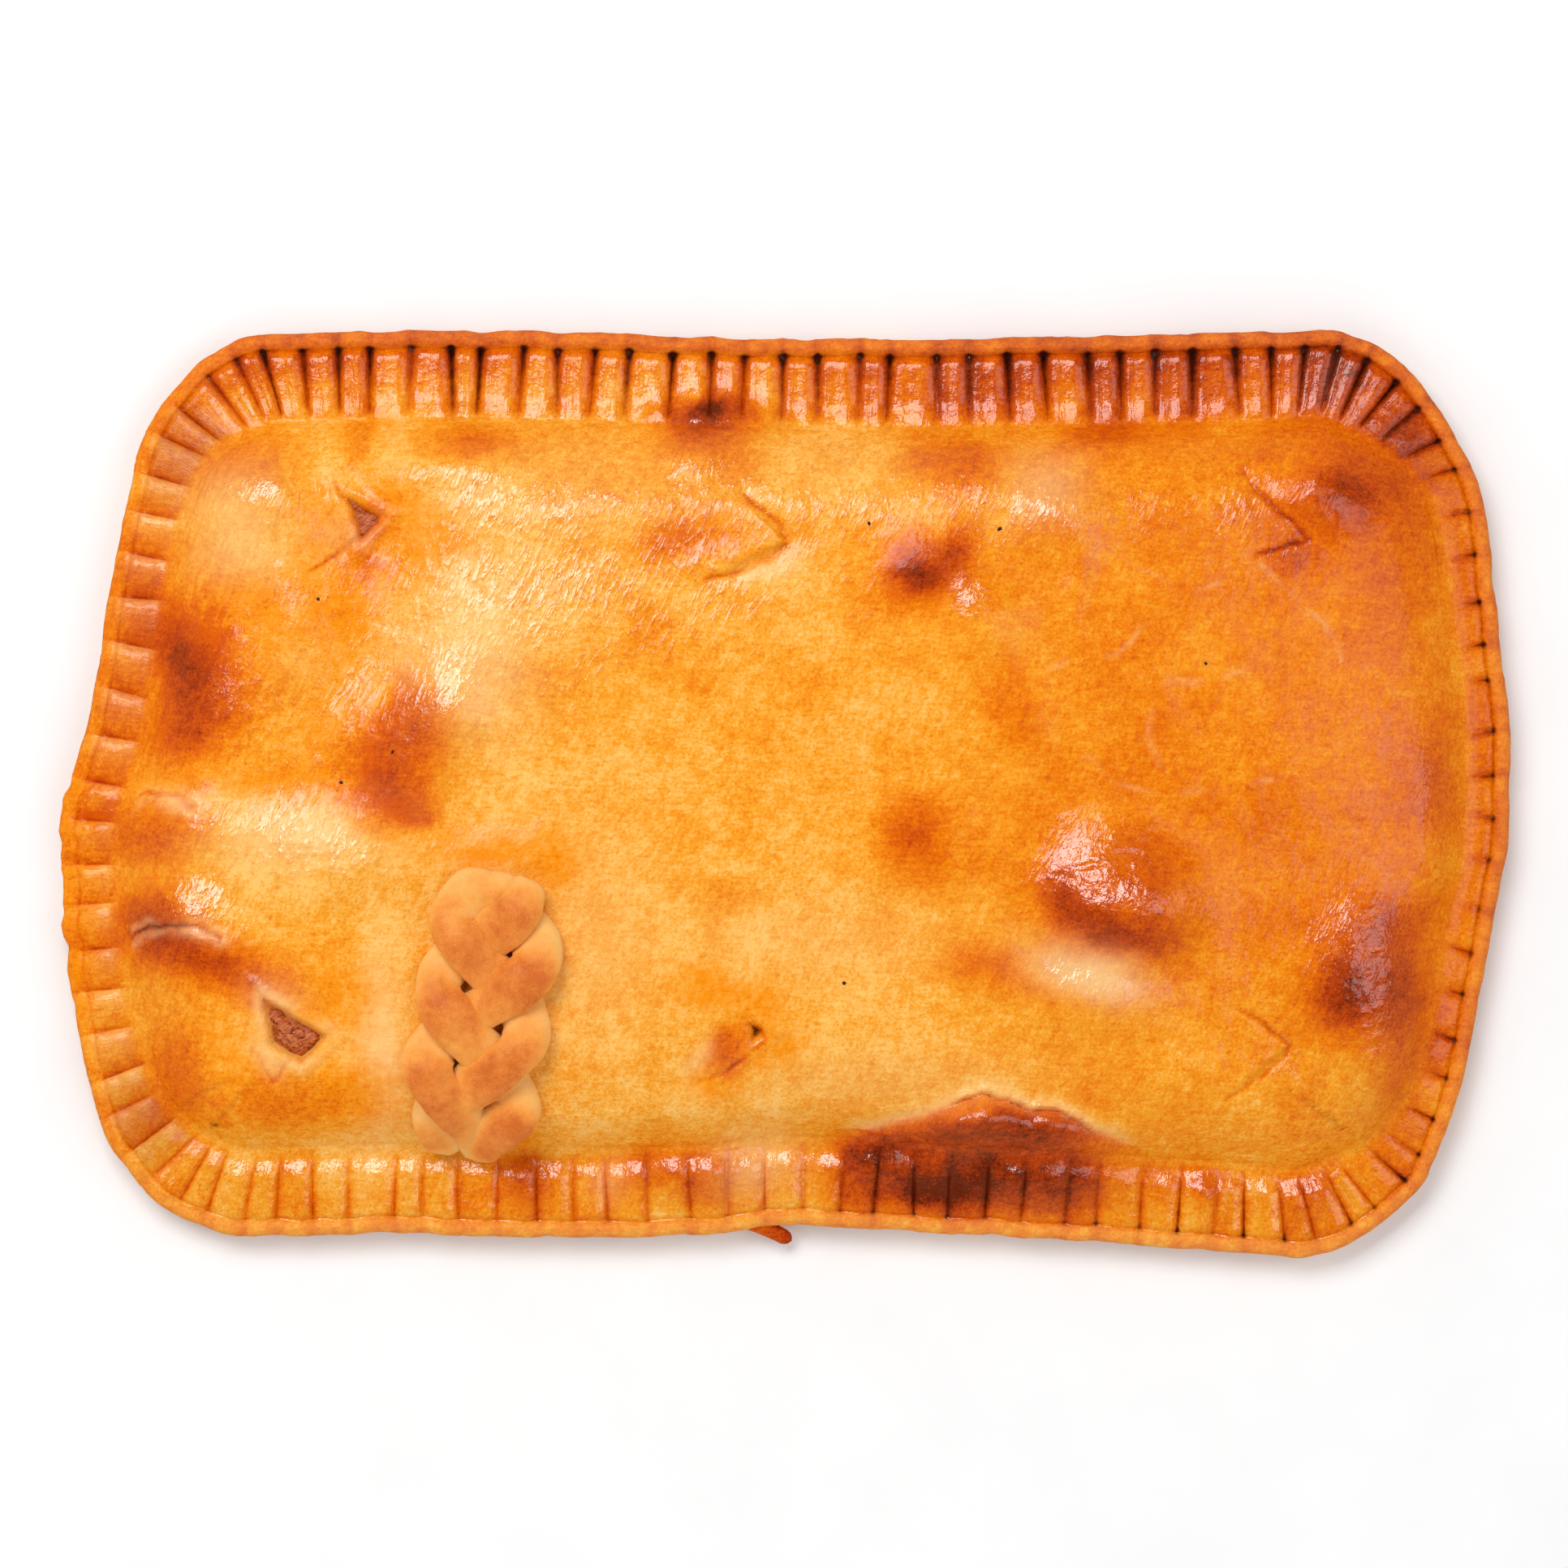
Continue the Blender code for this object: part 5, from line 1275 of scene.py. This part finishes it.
class Nodes:
    """Adds and links a material's nodes."""

    def __init__(self, name):
        self.material = bpy.data.materials.new(name)
        self.material.use_nodes = True
        self.tree = self.material.node_tree
        self.shader = self.tree.nodes["Principled BSDF"]
        self.place = self.tree.nodes.new("ShaderNodeTexCoord").outputs["Object"]

    def set(self, socket, value):
        """Links a socket, or gives it a constant."""
        if isinstance(value, bpy.types.NodeSocket):
            self.tree.links.new(value, socket)
        else:
            socket.default_value = value

    def shade(self, name, value):
        """Links one of the shader's sockets, or gives it a constant."""
        self.set(self.shader.inputs[name], value)

    def math(self, operation, a, b=0.0, clamp=False):
        """The sum, product or other result of two values."""
        node = self.tree.nodes.new("ShaderNodeMath")
        node.operation = operation
        node.use_clamp = clamp
        self.set(node.inputs[0], a)
        self.set(node.inputs[1], b)
        return node.outputs[0]

    def times(self, a, b):
        """The product of two values."""
        return self.math("MULTIPLY", a, b)

    def attribute(self, name):
        """One of the piece's tones."""
        node = self.tree.nodes.new("ShaderNodeAttribute")
        node.attribute_name = name
        return node.outputs["Fac"]

    def mapped(self, size, turn=0.0):
        """Places measured in steps of this size along axes turned about Z."""
        node = self.tree.nodes.new("ShaderNodeMapping")
        node.vector_type = "TEXTURE"
        self.set(node.inputs["Vector"], self.place)
        node.inputs["Scale"].default_value = size
        node.inputs["Rotation"].default_value = (0, 0, turn)
        return node.outputs[0]

    def noise(self, scale, detail=2.0, roughness=0.5, vector=None, distortion=0.0):
        """Noise from 0 to 1, with this many cells to a metre, or to a step of the vector."""
        node = self.tree.nodes.new("ShaderNodeTexNoise")
        self.set(node.inputs["Vector"], vector or self.place)
        node.inputs["Scale"].default_value = scale
        node.inputs["Detail"].default_value = detail
        node.inputs["Roughness"].default_value = roughness
        node.inputs["Distortion"].default_value = distortion
        return node.outputs["Fac"]

    def ramp(self, value, stops):
        """A colour that changes along the stops, which are places and colours."""
        node = self.tree.nodes.new("ShaderNodeValToRGB")
        elements = node.color_ramp.elements
        while len(elements) < len(stops):
            elements.new(0.5)
        for element, (place, colour) in zip(elements, stops):
            element.position = place
            element.color = colour
        self.set(node.inputs[0], value)
        return node.outputs[0]

    def joined(self, x, y):
        """A vector of two numbers."""
        node = self.tree.nodes.new("ShaderNodeCombineXYZ")
        self.set(node.inputs[0], x)
        self.set(node.inputs[1], y)
        return node.outputs[0]

    def levels(self, value, low, high, to_low=0.0, to_high=1.0):
        """A value moved smoothly from one range to another."""
        node = self.tree.nodes.new("ShaderNodeMapRange")
        node.interpolation_type = "SMOOTHSTEP"
        for name, number in zip(("From Min", "From Max", "To Min", "To Max"), (low, high, to_low, to_high)):
            node.inputs[name].default_value = number
        self.set(node.inputs["Value"], value)
        return node.outputs[0]

    def mix(self, share, a, b):
        """A colour between two, by the second one's share."""
        node = self.tree.nodes.new("ShaderNodeMix")
        node.data_type = "RGBA"
        self.set(node.inputs["Factor"], share)
        self.set(node.inputs[6], a)
        self.set(node.inputs[7], b)
        return node.outputs[2]

    def bump(self, height, distance):
        """A normal tilted by a height whose full range is this distance in metres."""
        node = self.tree.nodes.new("ShaderNodeBump")
        self.set(node.inputs["Height"], height)
        node.inputs["Strength"].default_value = 1.0
        node.inputs["Distance"].default_value = distance
        return node.outputs[0]

    def centred(self, value, amount):
        """A noise value moved to swing about zero by this amount."""
        return self.math("MULTIPLY", self.math("SUBTRACT", value, 0.5), 2 * amount)

    def weighted(self, *pairs):
        """A sum of values, each taken times its share."""
        return self.total(*(self.times(value, share) for value, share in pairs))

    def total(self, *values):
        """A sum of values."""
        result = values[0]
        for value in values[1:]:
            result = self.math("ADD", result, value)
        return result


def opaque(colour):
    """A colour with full opacity, as a shader socket takes it."""
    return (*colour, 1.0)


def crust_material(look):
    """Egg-washed crust: a ramp of browning, broken by mottling, brushed streaks and freckles.

    The egg wash is a coat that is thick along the brush's strokes and on taut skin, and thin where
    the crust is dull or oily. It dried in wrinkles, which follow the strokes.
    """
    n = Nodes("baked_crust")
    tone = n.attribute("browning")
    oil, pale = n.attribute("oil"), n.attribute("pale")
    glaze, dull, under = n.attribute("glaze"), n.attribute("dull"), n.attribute("under")
    skin, rim_share, streaky = n.attribute("skin"), n.attribute("rim"), n.attribute("streaky")
    patches = n.noise(85, 3, 0.55)
    mottle = n.noise(420, 3, 0.65)
    grain = n.noise(1700, 2, 0.6)
    streaks = n.noise(1.0, 2, 0.55, n.mapped((0.0011, 0.0038, 0.0016), math.radians(-24)), 0.3)
    weave = n.noise(1.0, 2, 0.6, n.mapped((0.0034, 0.0008, 0.0020)))
    freckles = n.levels(n.noise(1150, 2, 0.6), 0.54, 0.70)
    broken = ((patches, 0.17), (mottle, 0.15), (streaks, 0.12), (grain, 0.22), (weave, 0.12))
    broken = [n.centred(value, amount) for value, amount in broken]
    fine_tone = n.total(tone, look.baking, *broken, n.times(freckles, 0.08))
    colour = n.ramp(
        fine_tone,
        (
            (0.0, opaque(look.pale_gold)),
            (0.18, opaque(look.gold)),
            (0.36, opaque(look.orange)),
            (0.54, opaque(look.deep_orange)),
            (0.74, opaque(look.brown)),
            (1.0, opaque(look.dark)),
        ),
    )
    # The dough colour here also paints the sheen and highlights that some pale marks hold.
    colour = n.mix(n.times(pale, 0.7), colour, opaque(look.dough))
    colour = n.mix(n.times(n.attribute("veined"), 0.28), colour, opaque(look.dough))
    oily = n.times(oil, n.levels(mottle, 0.30, 0.62, 0.55, 1.0))
    oil_colour = n.mix(n.levels(fine_tone, 0.14, 0.55), opaque(look.oil), opaque(look.oil_deep))
    colour = n.mix(n.times(oily, 0.95), colour, oil_colour)
    ragged = n.math("ADD", glaze, n.times(glaze, n.centred(mottle, 0.8)))
    colour = n.mix(n.levels(ragged, 0.05, 0.95), colour, opaque(look.glaze))
    spots = n.total(patches, n.centred(mottle, 0.3))
    base = n.ramp(spots, ((0.25, opaque(look.underside)), (0.75, opaque(look.underside_brown))))
    colour = n.mix(under, colour, base)
    n.shade("Base Color", colour)
    rough = n.total(
        n.levels(mottle, 0.35, 0.65, 0.30, 0.40),
        n.times(dull, 0.25),
        n.times(skin, -0.06),
    )
    n.shade("Roughness", rough)
    coat = n.total(
        0.14,
        n.times(streaky, n.levels(streaks, 0.42, 0.58, 0.18, 0.95)),
        n.times(dull, -1.0),
        n.times(oil, -0.15),
    )
    coat = n.times(coat, n.levels(patches, 0.38, 0.58, 0.5, 1.0))
    coat = n.total(coat, n.times(skin, 0.95))
    n.shade("Coat Weight", n.math("MAXIMUM", coat, 0.0, clamp=True))
    n.shade("Coat Roughness", 0.13)
    n.shade("Coat IOR", 1.75)
    n.shade("Specular IOR Level", 0.06)
    n.shade("Subsurface Weight", 0.04)
    n.shade("Subsurface Radius", (0.0025, 0.001, 0.0004))
    n.shade("Subsurface Scale", 1.0)
    across = n.times(n.attribute("across"), 1.25)
    along = n.joined(across, n.times(n.attribute("inset"), 0.22))
    striations = n.times(n.noise(1.0, 2, 0.6, along), rim_share)
    on_lid = n.levels(rim_share, 0.0, 1.0, 1.0, 0.25)
    wrinkled = n.times(n.times(streaks, streaky), on_lid)
    wrinkled = n.times(wrinkled, n.levels(skin, 0.0, 1.0, 1.0, 0.45))
    relief = n.weighted((wrinkled, 0.7), (grain, 0.22), (mottle, 0.8), (weave, 0.25), (striations, 0.7))
    n.shade("Normal", n.bump(relief, look.grain_height))
    crinkled = n.times(mottle, skin)
    glazed = n.weighted((wrinkled, 1.15), (mottle, 0.30), (crinkled, 0.60), (striations, 0.25))
    n.shade("Coat Normal", n.bump(glazed, look.grain_height))
    return n.material


def plait_material(look):
    """Drier dough without egg wash: pale, with toasted tops and a fine floury grain."""
    n = Nodes("plait_dough")
    toast = n.attribute("toast")
    patches, mottle, grain = n.noise(140, 3, 0.6), n.noise(600, 3, 0.6), n.noise(2800, 2)
    tone = n.total(toast, n.centred(patches, 0.20), n.centred(mottle, 0.24), n.centred(grain, 0.20))
    colour = n.ramp(
        tone,
        (
            (0.0, opaque(look.pale)),
            (0.45, opaque(look.golden)),
            (0.75, opaque(look.toasted)),
            (1.0, opaque(look.brown)),
        ),
    )
    n.shade("Base Color", colour)
    n.shade("Roughness", n.levels(tone, 0.2, 0.9, 0.58, 0.44))
    n.shade("Specular IOR Level", 0.15)
    n.shade("Subsurface Weight", 0.08)
    n.shade("Subsurface Radius", (0.003, 0.0014, 0.0006))
    n.shade("Subsurface Scale", 1.0)
    relief = n.total(mottle, n.times(grain, 0.4))
    n.shade("Normal", n.bump(relief, 0.0002))
    return n.material


def filling_material(look):
    """Moist stewed meat: dark fibres with paler flecks of onion."""
    n = Nodes("stewed_filling")
    fibres = n.noise(1.0, 3, 0.6, n.mapped((0.002, 0.0004, 0.0007), 0.6))
    flecks = n.noise(900, 2)
    colour = n.ramp(
        n.total(fibres, n.centred(flecks, 0.25)),
        ((0.2, opaque(look.dark)), (0.5, opaque(look.brown)), (0.85, opaque(look.light))),
    )
    n.shade("Base Color", colour)
    n.shade("Roughness", n.levels(flecks, 0.3, 0.7, 0.28, 0.5))
    n.shade("Normal", n.bump(fibres, 0.0003))
    return n.material


def plain_material(name, colour, roughness):
    """A material for the floor and the specks, with a slight grain."""
    n = Nodes(name)
    shade = [0.94 * value for value in colour]
    n.shade("Base Color", n.mix(n.noise(40, 2), opaque(colour), opaque(shade)))
    n.shade("Roughness", roughness)
    return n.material


class EmpanadaCrust(bpy.types.PropertyGroup):
    """The crust's sizes and colours. Its colours run from the palest to the most baked."""

    crimp_depth: bpy.props.FloatProperty(
        name="Crimp Depth", description="How deep the crimps are pressed",
        default=1.0, min=0.0, max=1.5, subtype="FACTOR"
    )
    grain_height: bpy.props.FloatProperty(
        name="Grain Height", description="Height of the skin's fine grain",
        default=0.00045, precision=5, unit="LENGTH"
    )
    baking: bpy.props.FloatProperty(
        name="Baking", description="How much darker the crust is baked",
        default=0.0, min=-0.3, max=0.5, subtype="FACTOR"
    )
    pale_gold: bpy.props.FloatVectorProperty(
        name="Pale Gold", description="Least baked crust", default=linear(248, 190, 98), subtype="COLOR"
    )
    gold: bpy.props.FloatVectorProperty(
        name="Gold", description="Lightly baked crust", default=linear(242, 158, 36), subtype="COLOR"
    )
    orange: bpy.props.FloatVectorProperty(
        name="Orange", description="Well baked crust", default=linear(233, 124, 4), subtype="COLOR"
    )
    deep_orange: bpy.props.FloatVectorProperty(
        name="Deep Orange", description="Crust that begins to brown",
        default=linear(216, 94, 2), subtype="COLOR"
    )
    brown: bpy.props.FloatVectorProperty(
        name="Brown", description="Browned blisters", default=linear(182, 62, 4), subtype="COLOR"
    )
    dark: bpy.props.FloatVectorProperty(
        name="Dark", description="Most baked crust", default=linear(104, 30, 4), subtype="COLOR"
    )
    # The dough colour is also used for the painted sheen and highlights of some pale marks.
    dough: bpy.props.FloatVectorProperty(
        name="Dough", description="Places that stayed pale", default=linear(249, 206, 142), subtype="COLOR"
    )
    oil: bpy.props.FloatVectorProperty(
        name="Oil", description="Stains of the filling's oil", default=linear(243, 140, 0), subtype="COLOR"
    )
    oil_deep: bpy.props.FloatVectorProperty(
        name="Deep Oil", description="Oil stains on browned crust",
        default=linear(212, 80, 0), subtype="COLOR"
    )
    glaze: bpy.props.FloatVectorProperty(
        name="Glaze", description="Egg wash burnt in the grooves",
        default=linear(66, 18, 6), subtype="COLOR"
    )
    underside: bpy.props.FloatVectorProperty(
        name="Underside", description="The dry underside", default=linear(196, 128, 70), subtype="COLOR"
    )
    underside_brown: bpy.props.FloatVectorProperty(
        name="Underside Brown", description="Its browned spots",
        default=linear(140, 74, 34), subtype="COLOR"
    )


class EmpanadaPlait(bpy.types.PropertyGroup):
    """The plaited ornament's sizes and colours."""

    length: bpy.props.FloatProperty(
        name="Length", description="Length of the plait", default=0.064, unit="LENGTH"
    )
    lean: bpy.props.FloatProperty(
        name="Lean", description="Turn of the plait from the pie's Y axis",
        default=math.radians(8), unit="ROTATION"
    )
    strand_width: bpy.props.FloatProperty(
        name="Strand Width", description="Width of one strand", default=0.0098, precision=4, unit="LENGTH"
    )
    strand_height: bpy.props.FloatProperty(
        name="Strand Height", description="Height of one strand", default=0.0062, precision=4, unit="LENGTH"
    )
    pale: bpy.props.FloatVectorProperty(
        name="Pale", description="The strands' sides", default=linear(240, 184, 104), subtype="COLOR"
    )
    golden: bpy.props.FloatVectorProperty(
        name="Golden", description="Between the sides and the tops",
        default=linear(240, 158, 70), subtype="COLOR"
    )
    toasted: bpy.props.FloatVectorProperty(
        name="Toasted", description="The strands' tops", default=linear(226, 132, 54), subtype="COLOR"
    )
    brown: bpy.props.FloatVectorProperty(
        name="Brown", description="The most toasted places", default=linear(206, 104, 38), subtype="COLOR"
    )


class EmpanadaFilling(bpy.types.PropertyGroup):
    """The sizes and colours of the filling in the open vents."""

    shred_count: bpy.props.IntProperty(
        name="Shreds", description="Number of shreds in each open vent", default=26, min=1, max=200
    )
    shred_length: bpy.props.FloatProperty(
        name="Shred Length", description="Usual length of a shred",
        default=0.0042, precision=4, unit="LENGTH"
    )
    dark: bpy.props.FloatVectorProperty(
        name="Dark", description="Between the fibres", default=linear(130, 50, 18), subtype="COLOR"
    )
    brown: bpy.props.FloatVectorProperty(
        name="Brown", description="The meat", default=linear(190, 94, 40), subtype="COLOR"
    )
    light: bpy.props.FloatVectorProperty(
        name="Light", description="Flecks of onion", default=linear(230, 152, 88), subtype="COLOR"
    )


class EmpanadaSpecks(bpy.types.PropertyGroup):
    """The size and colour of the specks of spice."""

    width: bpy.props.FloatProperty(
        name="Width", description="Usual length of a speck", default=0.00078, precision=5, unit="LENGTH"
    )
    colour: bpy.props.FloatVectorProperty(
        name="Colour", description="Colour of the spice", default=linear(52, 24, 14), subtype="COLOR"
    )


class EmpanadaStage(bpy.types.PropertyGroup):
    """The studio: where the camera stands and how bright the lights are."""

    view_width: bpy.props.FloatProperty(
        name="View Width", description="Width of what the camera sees at the rim",
        default=0.3238, unit="LENGTH"
    )
    distance: bpy.props.FloatProperty(
        name="Camera Distance", description="Height of the camera above the rim", default=1.0, unit="LENGTH"
    )
    key: bpy.props.FloatProperty(
        name="Key Light", description="Power of the main softbox", default=11.0, unit="POWER"
    )
    right_fill: bpy.props.FloatProperty(
        name="Right Fill", description="Power of the softbox on the right", default=3.9, unit="POWER"
    )
    front_fill: bpy.props.FloatProperty(
        name="Front Fill", description="Power of the large softbox on the near side",
        default=5.0, unit="POWER"
    )
    left_fill: bpy.props.FloatProperty(
        name="Left Fill", description="Power of the softbox on the left", default=2.0, unit="POWER"
    )
    ambient: bpy.props.FloatProperty(
        name="Ambient", description="Brightness of the white walls", default=1.0, subtype="FACTOR"
    )
    floor: bpy.props.FloatVectorProperty(
        name="Floor", description="Colour of the floor", default=(0.96, 0.96, 0.96), subtype="COLOR"
    )


def place_piece(name, mesh, material, slot, *nodes):
    """Adds a piece to the root body and hides the solids it stands for."""
    points, faces, *tones = mesh
    piece = make_mesh(name, points, faces, [material], *tones)
    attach(piece, "root")
    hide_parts(*nodes)


class EMPANADA_OT_crust(bpy.types.Operator):
    """Models the crust: the domed lid, the crimped base and the tail of its lip"""

    bl_idname = "empanada.crust"
    bl_label = "Crust"

    def execute(self, context):
        look = context.scene.empanada_crust
        material = crust_material(look)
        place_piece("crust_lid", crust_lid_mesh(), material, "baked_crust", "crust")
        place_piece("crust_base", crust_base_mesh(look), material, "baked_crust", "crust")
        place_piece("lip_tail", lip_tail_mesh(), material, "baked_crust", "crust")
        return {"FINISHED"}


class EMPANADA_OT_plait(bpy.types.Operator):
    """Models the three strands of the plaited ornament"""

    bl_idname = "empanada.plait"
    bl_label = "Plait"

    def execute(self, context):
        plait = context.scene.empanada_plait
        material = plait_material(plait)
        for strand in range(3):
            name = f"plait_strand_{strand + 1}"
            place_piece(name, strand_mesh(strand, plait), material, "ornament_dough", "dough_plait")
        return {"FINISHED"}


class EMPANADA_OT_filling(bpy.types.Operator):
    """Models the filling that shows in the open vents"""

    bl_idname = "empanada.filling"
    bl_label = "Filling"

    def execute(self, context):
        filling = context.scene.empanada_filling
        material = filling_material(filling)
        for number, (node, corners) in enumerate(OPENINGS.items()):
            mesh = filling_mesh(corners, 151 + 10 * number, filling)
            place_piece(f"stewed_{node}", mesh, material, "filling", node)
        return {"FINISHED"}


class EMPANADA_OT_specks(bpy.types.Operator):
    """Models the dark specks on the lid"""

    bl_idname = "empanada.specks"
    bl_label = "Specks"

    def execute(self, context):
        specks = context.scene.empanada_specks
        material = plain_material("dark_spice", specks.colour, 0.9)
        place_piece("spice_specks", specks_mesh(specks), material, "baked_crust", "crust")
        return {"FINISHED"}


# The floor lies just under the pie and reaches far past the camera's view.
FLOOR_REACH = 2500
FLOOR_HEIGHT = -0.4
SENSOR_WIDTH = 36.0
CAMERA_OFFSET = (-0.0002, 0.0019)
# The softboxes: name, setting of the power, place and size in metres, and if they show in the gloss.
SOFTBOXES = (
    ("key_softbox", "key", (-0.34, 0.60, 1.08), (0.85, 0.55), True),
    ("front_softbox", "front_fill", (0.1, -0.85, 0.85), (1.8, 1.0), False),
    ("right_softbox", "right_fill", (0.85, 0.05, 1.0), (0.7, 1.1), True),
    ("left_softbox", "left_fill", (-1.0, -0.1, 0.85), (0.5, 0.9), False),
)


class EMPANADA_OT_stage(bpy.types.Operator):
    """Sets up the pale floor, the soft lights and the camera above the pie"""

    bl_idname = "empanada.stage"
    bl_label = "Stage"

    def execute(self, context):
        scene = context.scene
        stage = scene.empanada_stage
        scene.view_settings.view_transform = "Standard"
        ways = ((-1, -1), (1, -1), (1, 1), (-1, 1))
        corners = [(x * FLOOR_REACH, y * FLOOR_REACH, FLOOR_HEIGHT) for x, y in ways]
        material = plain_material("pale_floor", stage.floor, 0.7)
        floor = make_mesh("floor", corners, [(0, 1, 2, 3)], [material])
        floor.visible_glossy = False
        for name, setting, place, size, shines in SOFTBOXES:
            add_softbox(name, place, size, getattr(stage, setting), shines)
        add_walls(scene, stage.ambient)
        camera = bpy.data.cameras.new("camera")
        camera.sensor_width = SENSOR_WIDTH
        camera.lens = camera.sensor_width * stage.distance / stage.view_width
        camera.clip_start = 0.05
        holder = bpy.data.objects.new("camera", camera)
        scene.collection.objects.link(holder)
        holder.location = (*CAMERA_OFFSET, stage.distance + RIM_HEIGHT * MM)
        scene.camera = holder
        return {"FINISHED"}


def add_walls(scene, ambient):
    """A world that is white at the horizon and dark overhead, and dimmer and warmer in the gloss."""
    world = scene.world or bpy.data.worlds.new("studio")
    scene.world = world
    world.use_nodes = True
    nodes, links = world.node_tree.nodes, world.node_tree.links
    background = nodes["Background"]
    background.inputs["Strength"].default_value = ambient
    split = nodes.new("ShaderNodeSeparateXYZ")
    links.new(nodes.new("ShaderNodeTexCoord").outputs["Generated"], split.inputs[0])
    ramp = nodes.new("ShaderNodeValToRGB")
    ramp.color_ramp.interpolation = "EASE"
    ramp.color_ramp.elements[0].position = 0.22
    ramp.color_ramp.elements[0].color = (1.0, 1.0, 1.0, 1.0)
    ramp.color_ramp.elements[1].position = 0.62
    ramp.color_ramp.elements[1].color = (0.06, 0.06, 0.06, 1.0)
    links.new(split.outputs["Z"], ramp.inputs[0])
    dim = nodes.new("ShaderNodeMix")
    dim.data_type = "RGBA"
    dim.blend_type = "MULTIPLY"
    dim.inputs[7].default_value = (0.28, 0.15, 0.07, 1.0)
    links.new(nodes.new("ShaderNodeLightPath").outputs["Is Glossy Ray"], dim.inputs["Factor"])
    links.new(ramp.outputs[0], dim.inputs[6])
    links.new(dim.outputs[2], background.inputs["Color"])


def add_softbox(name, place, size, power, shines):
    """An area light at a place in metres that faces the pie. A fill doesn't show in the gloss."""
    lamp = bpy.data.lights.new(name, "AREA")
    lamp.shape = "RECTANGLE"
    lamp.size, lamp.size_y = size
    lamp.energy = power
    holder = bpy.data.objects.new(name, lamp)
    bpy.context.scene.collection.objects.link(holder)
    holder.location = place
    holder.visible_glossy = shines
    holder.rotation_euler = (-Vector(place)).to_track_quat("-Z", "Y").to_euler()


class EMPANADA_PT_panel(bpy.types.Panel):
    """Lists the empanada's operators and settings"""

    bl_idname = "EMPANADA_PT_panel"
    bl_label = "Baked Empanada"
    bl_space_type = "VIEW_3D"
    bl_region_type = "UI"
    bl_category = "Empanada"

    def draw(self, context):
        scene = context.scene
        for operator in OPERATORS:
            self.layout.operator(operator.bl_idname)
        for settings in (getattr(scene, name) for name in SETTINGS):
            box = self.layout.box()
            for name in type(settings).__annotations__:
                box.prop(settings, name)


OPERATORS = (
    EMPANADA_OT_stage,
    EMPANADA_OT_crust,
    EMPANADA_OT_plait,
    EMPANADA_OT_filling,
    EMPANADA_OT_specks,
)
SETTINGS = {
    "empanada_crust": EmpanadaCrust,
    "empanada_plait": EmpanadaPlait,
    "empanada_filling": EmpanadaFilling,
    "empanada_specks": EmpanadaSpecks,
    "empanada_stage": EmpanadaStage,
}
CLASSES = (*SETTINGS.values(), *OPERATORS, EMPANADA_PT_panel)


def register():
    """Registers the classes and gives the scene its settings."""
    for cls in CLASSES:
        bpy.utils.register_class(cls)
    for name, group in SETTINGS.items():
        setattr(bpy.types.Scene, name, bpy.props.PointerProperty(type=group))


def unregister():
    """Takes the settings and the classes away again."""
    for name in SETTINGS:
        delattr(bpy.types.Scene, name)
    for cls in reversed(CLASSES):
        bpy.utils.unregister_class(cls)


def main():
    """Builds the stage and every piece."""
    register()
    bpy.ops.empanada.stage()
    bpy.ops.empanada.crust()
    bpy.ops.empanada.plait()
    bpy.ops.empanada.filling()
    bpy.ops.empanada.specks()


if __name__ == "__main__":
    main()
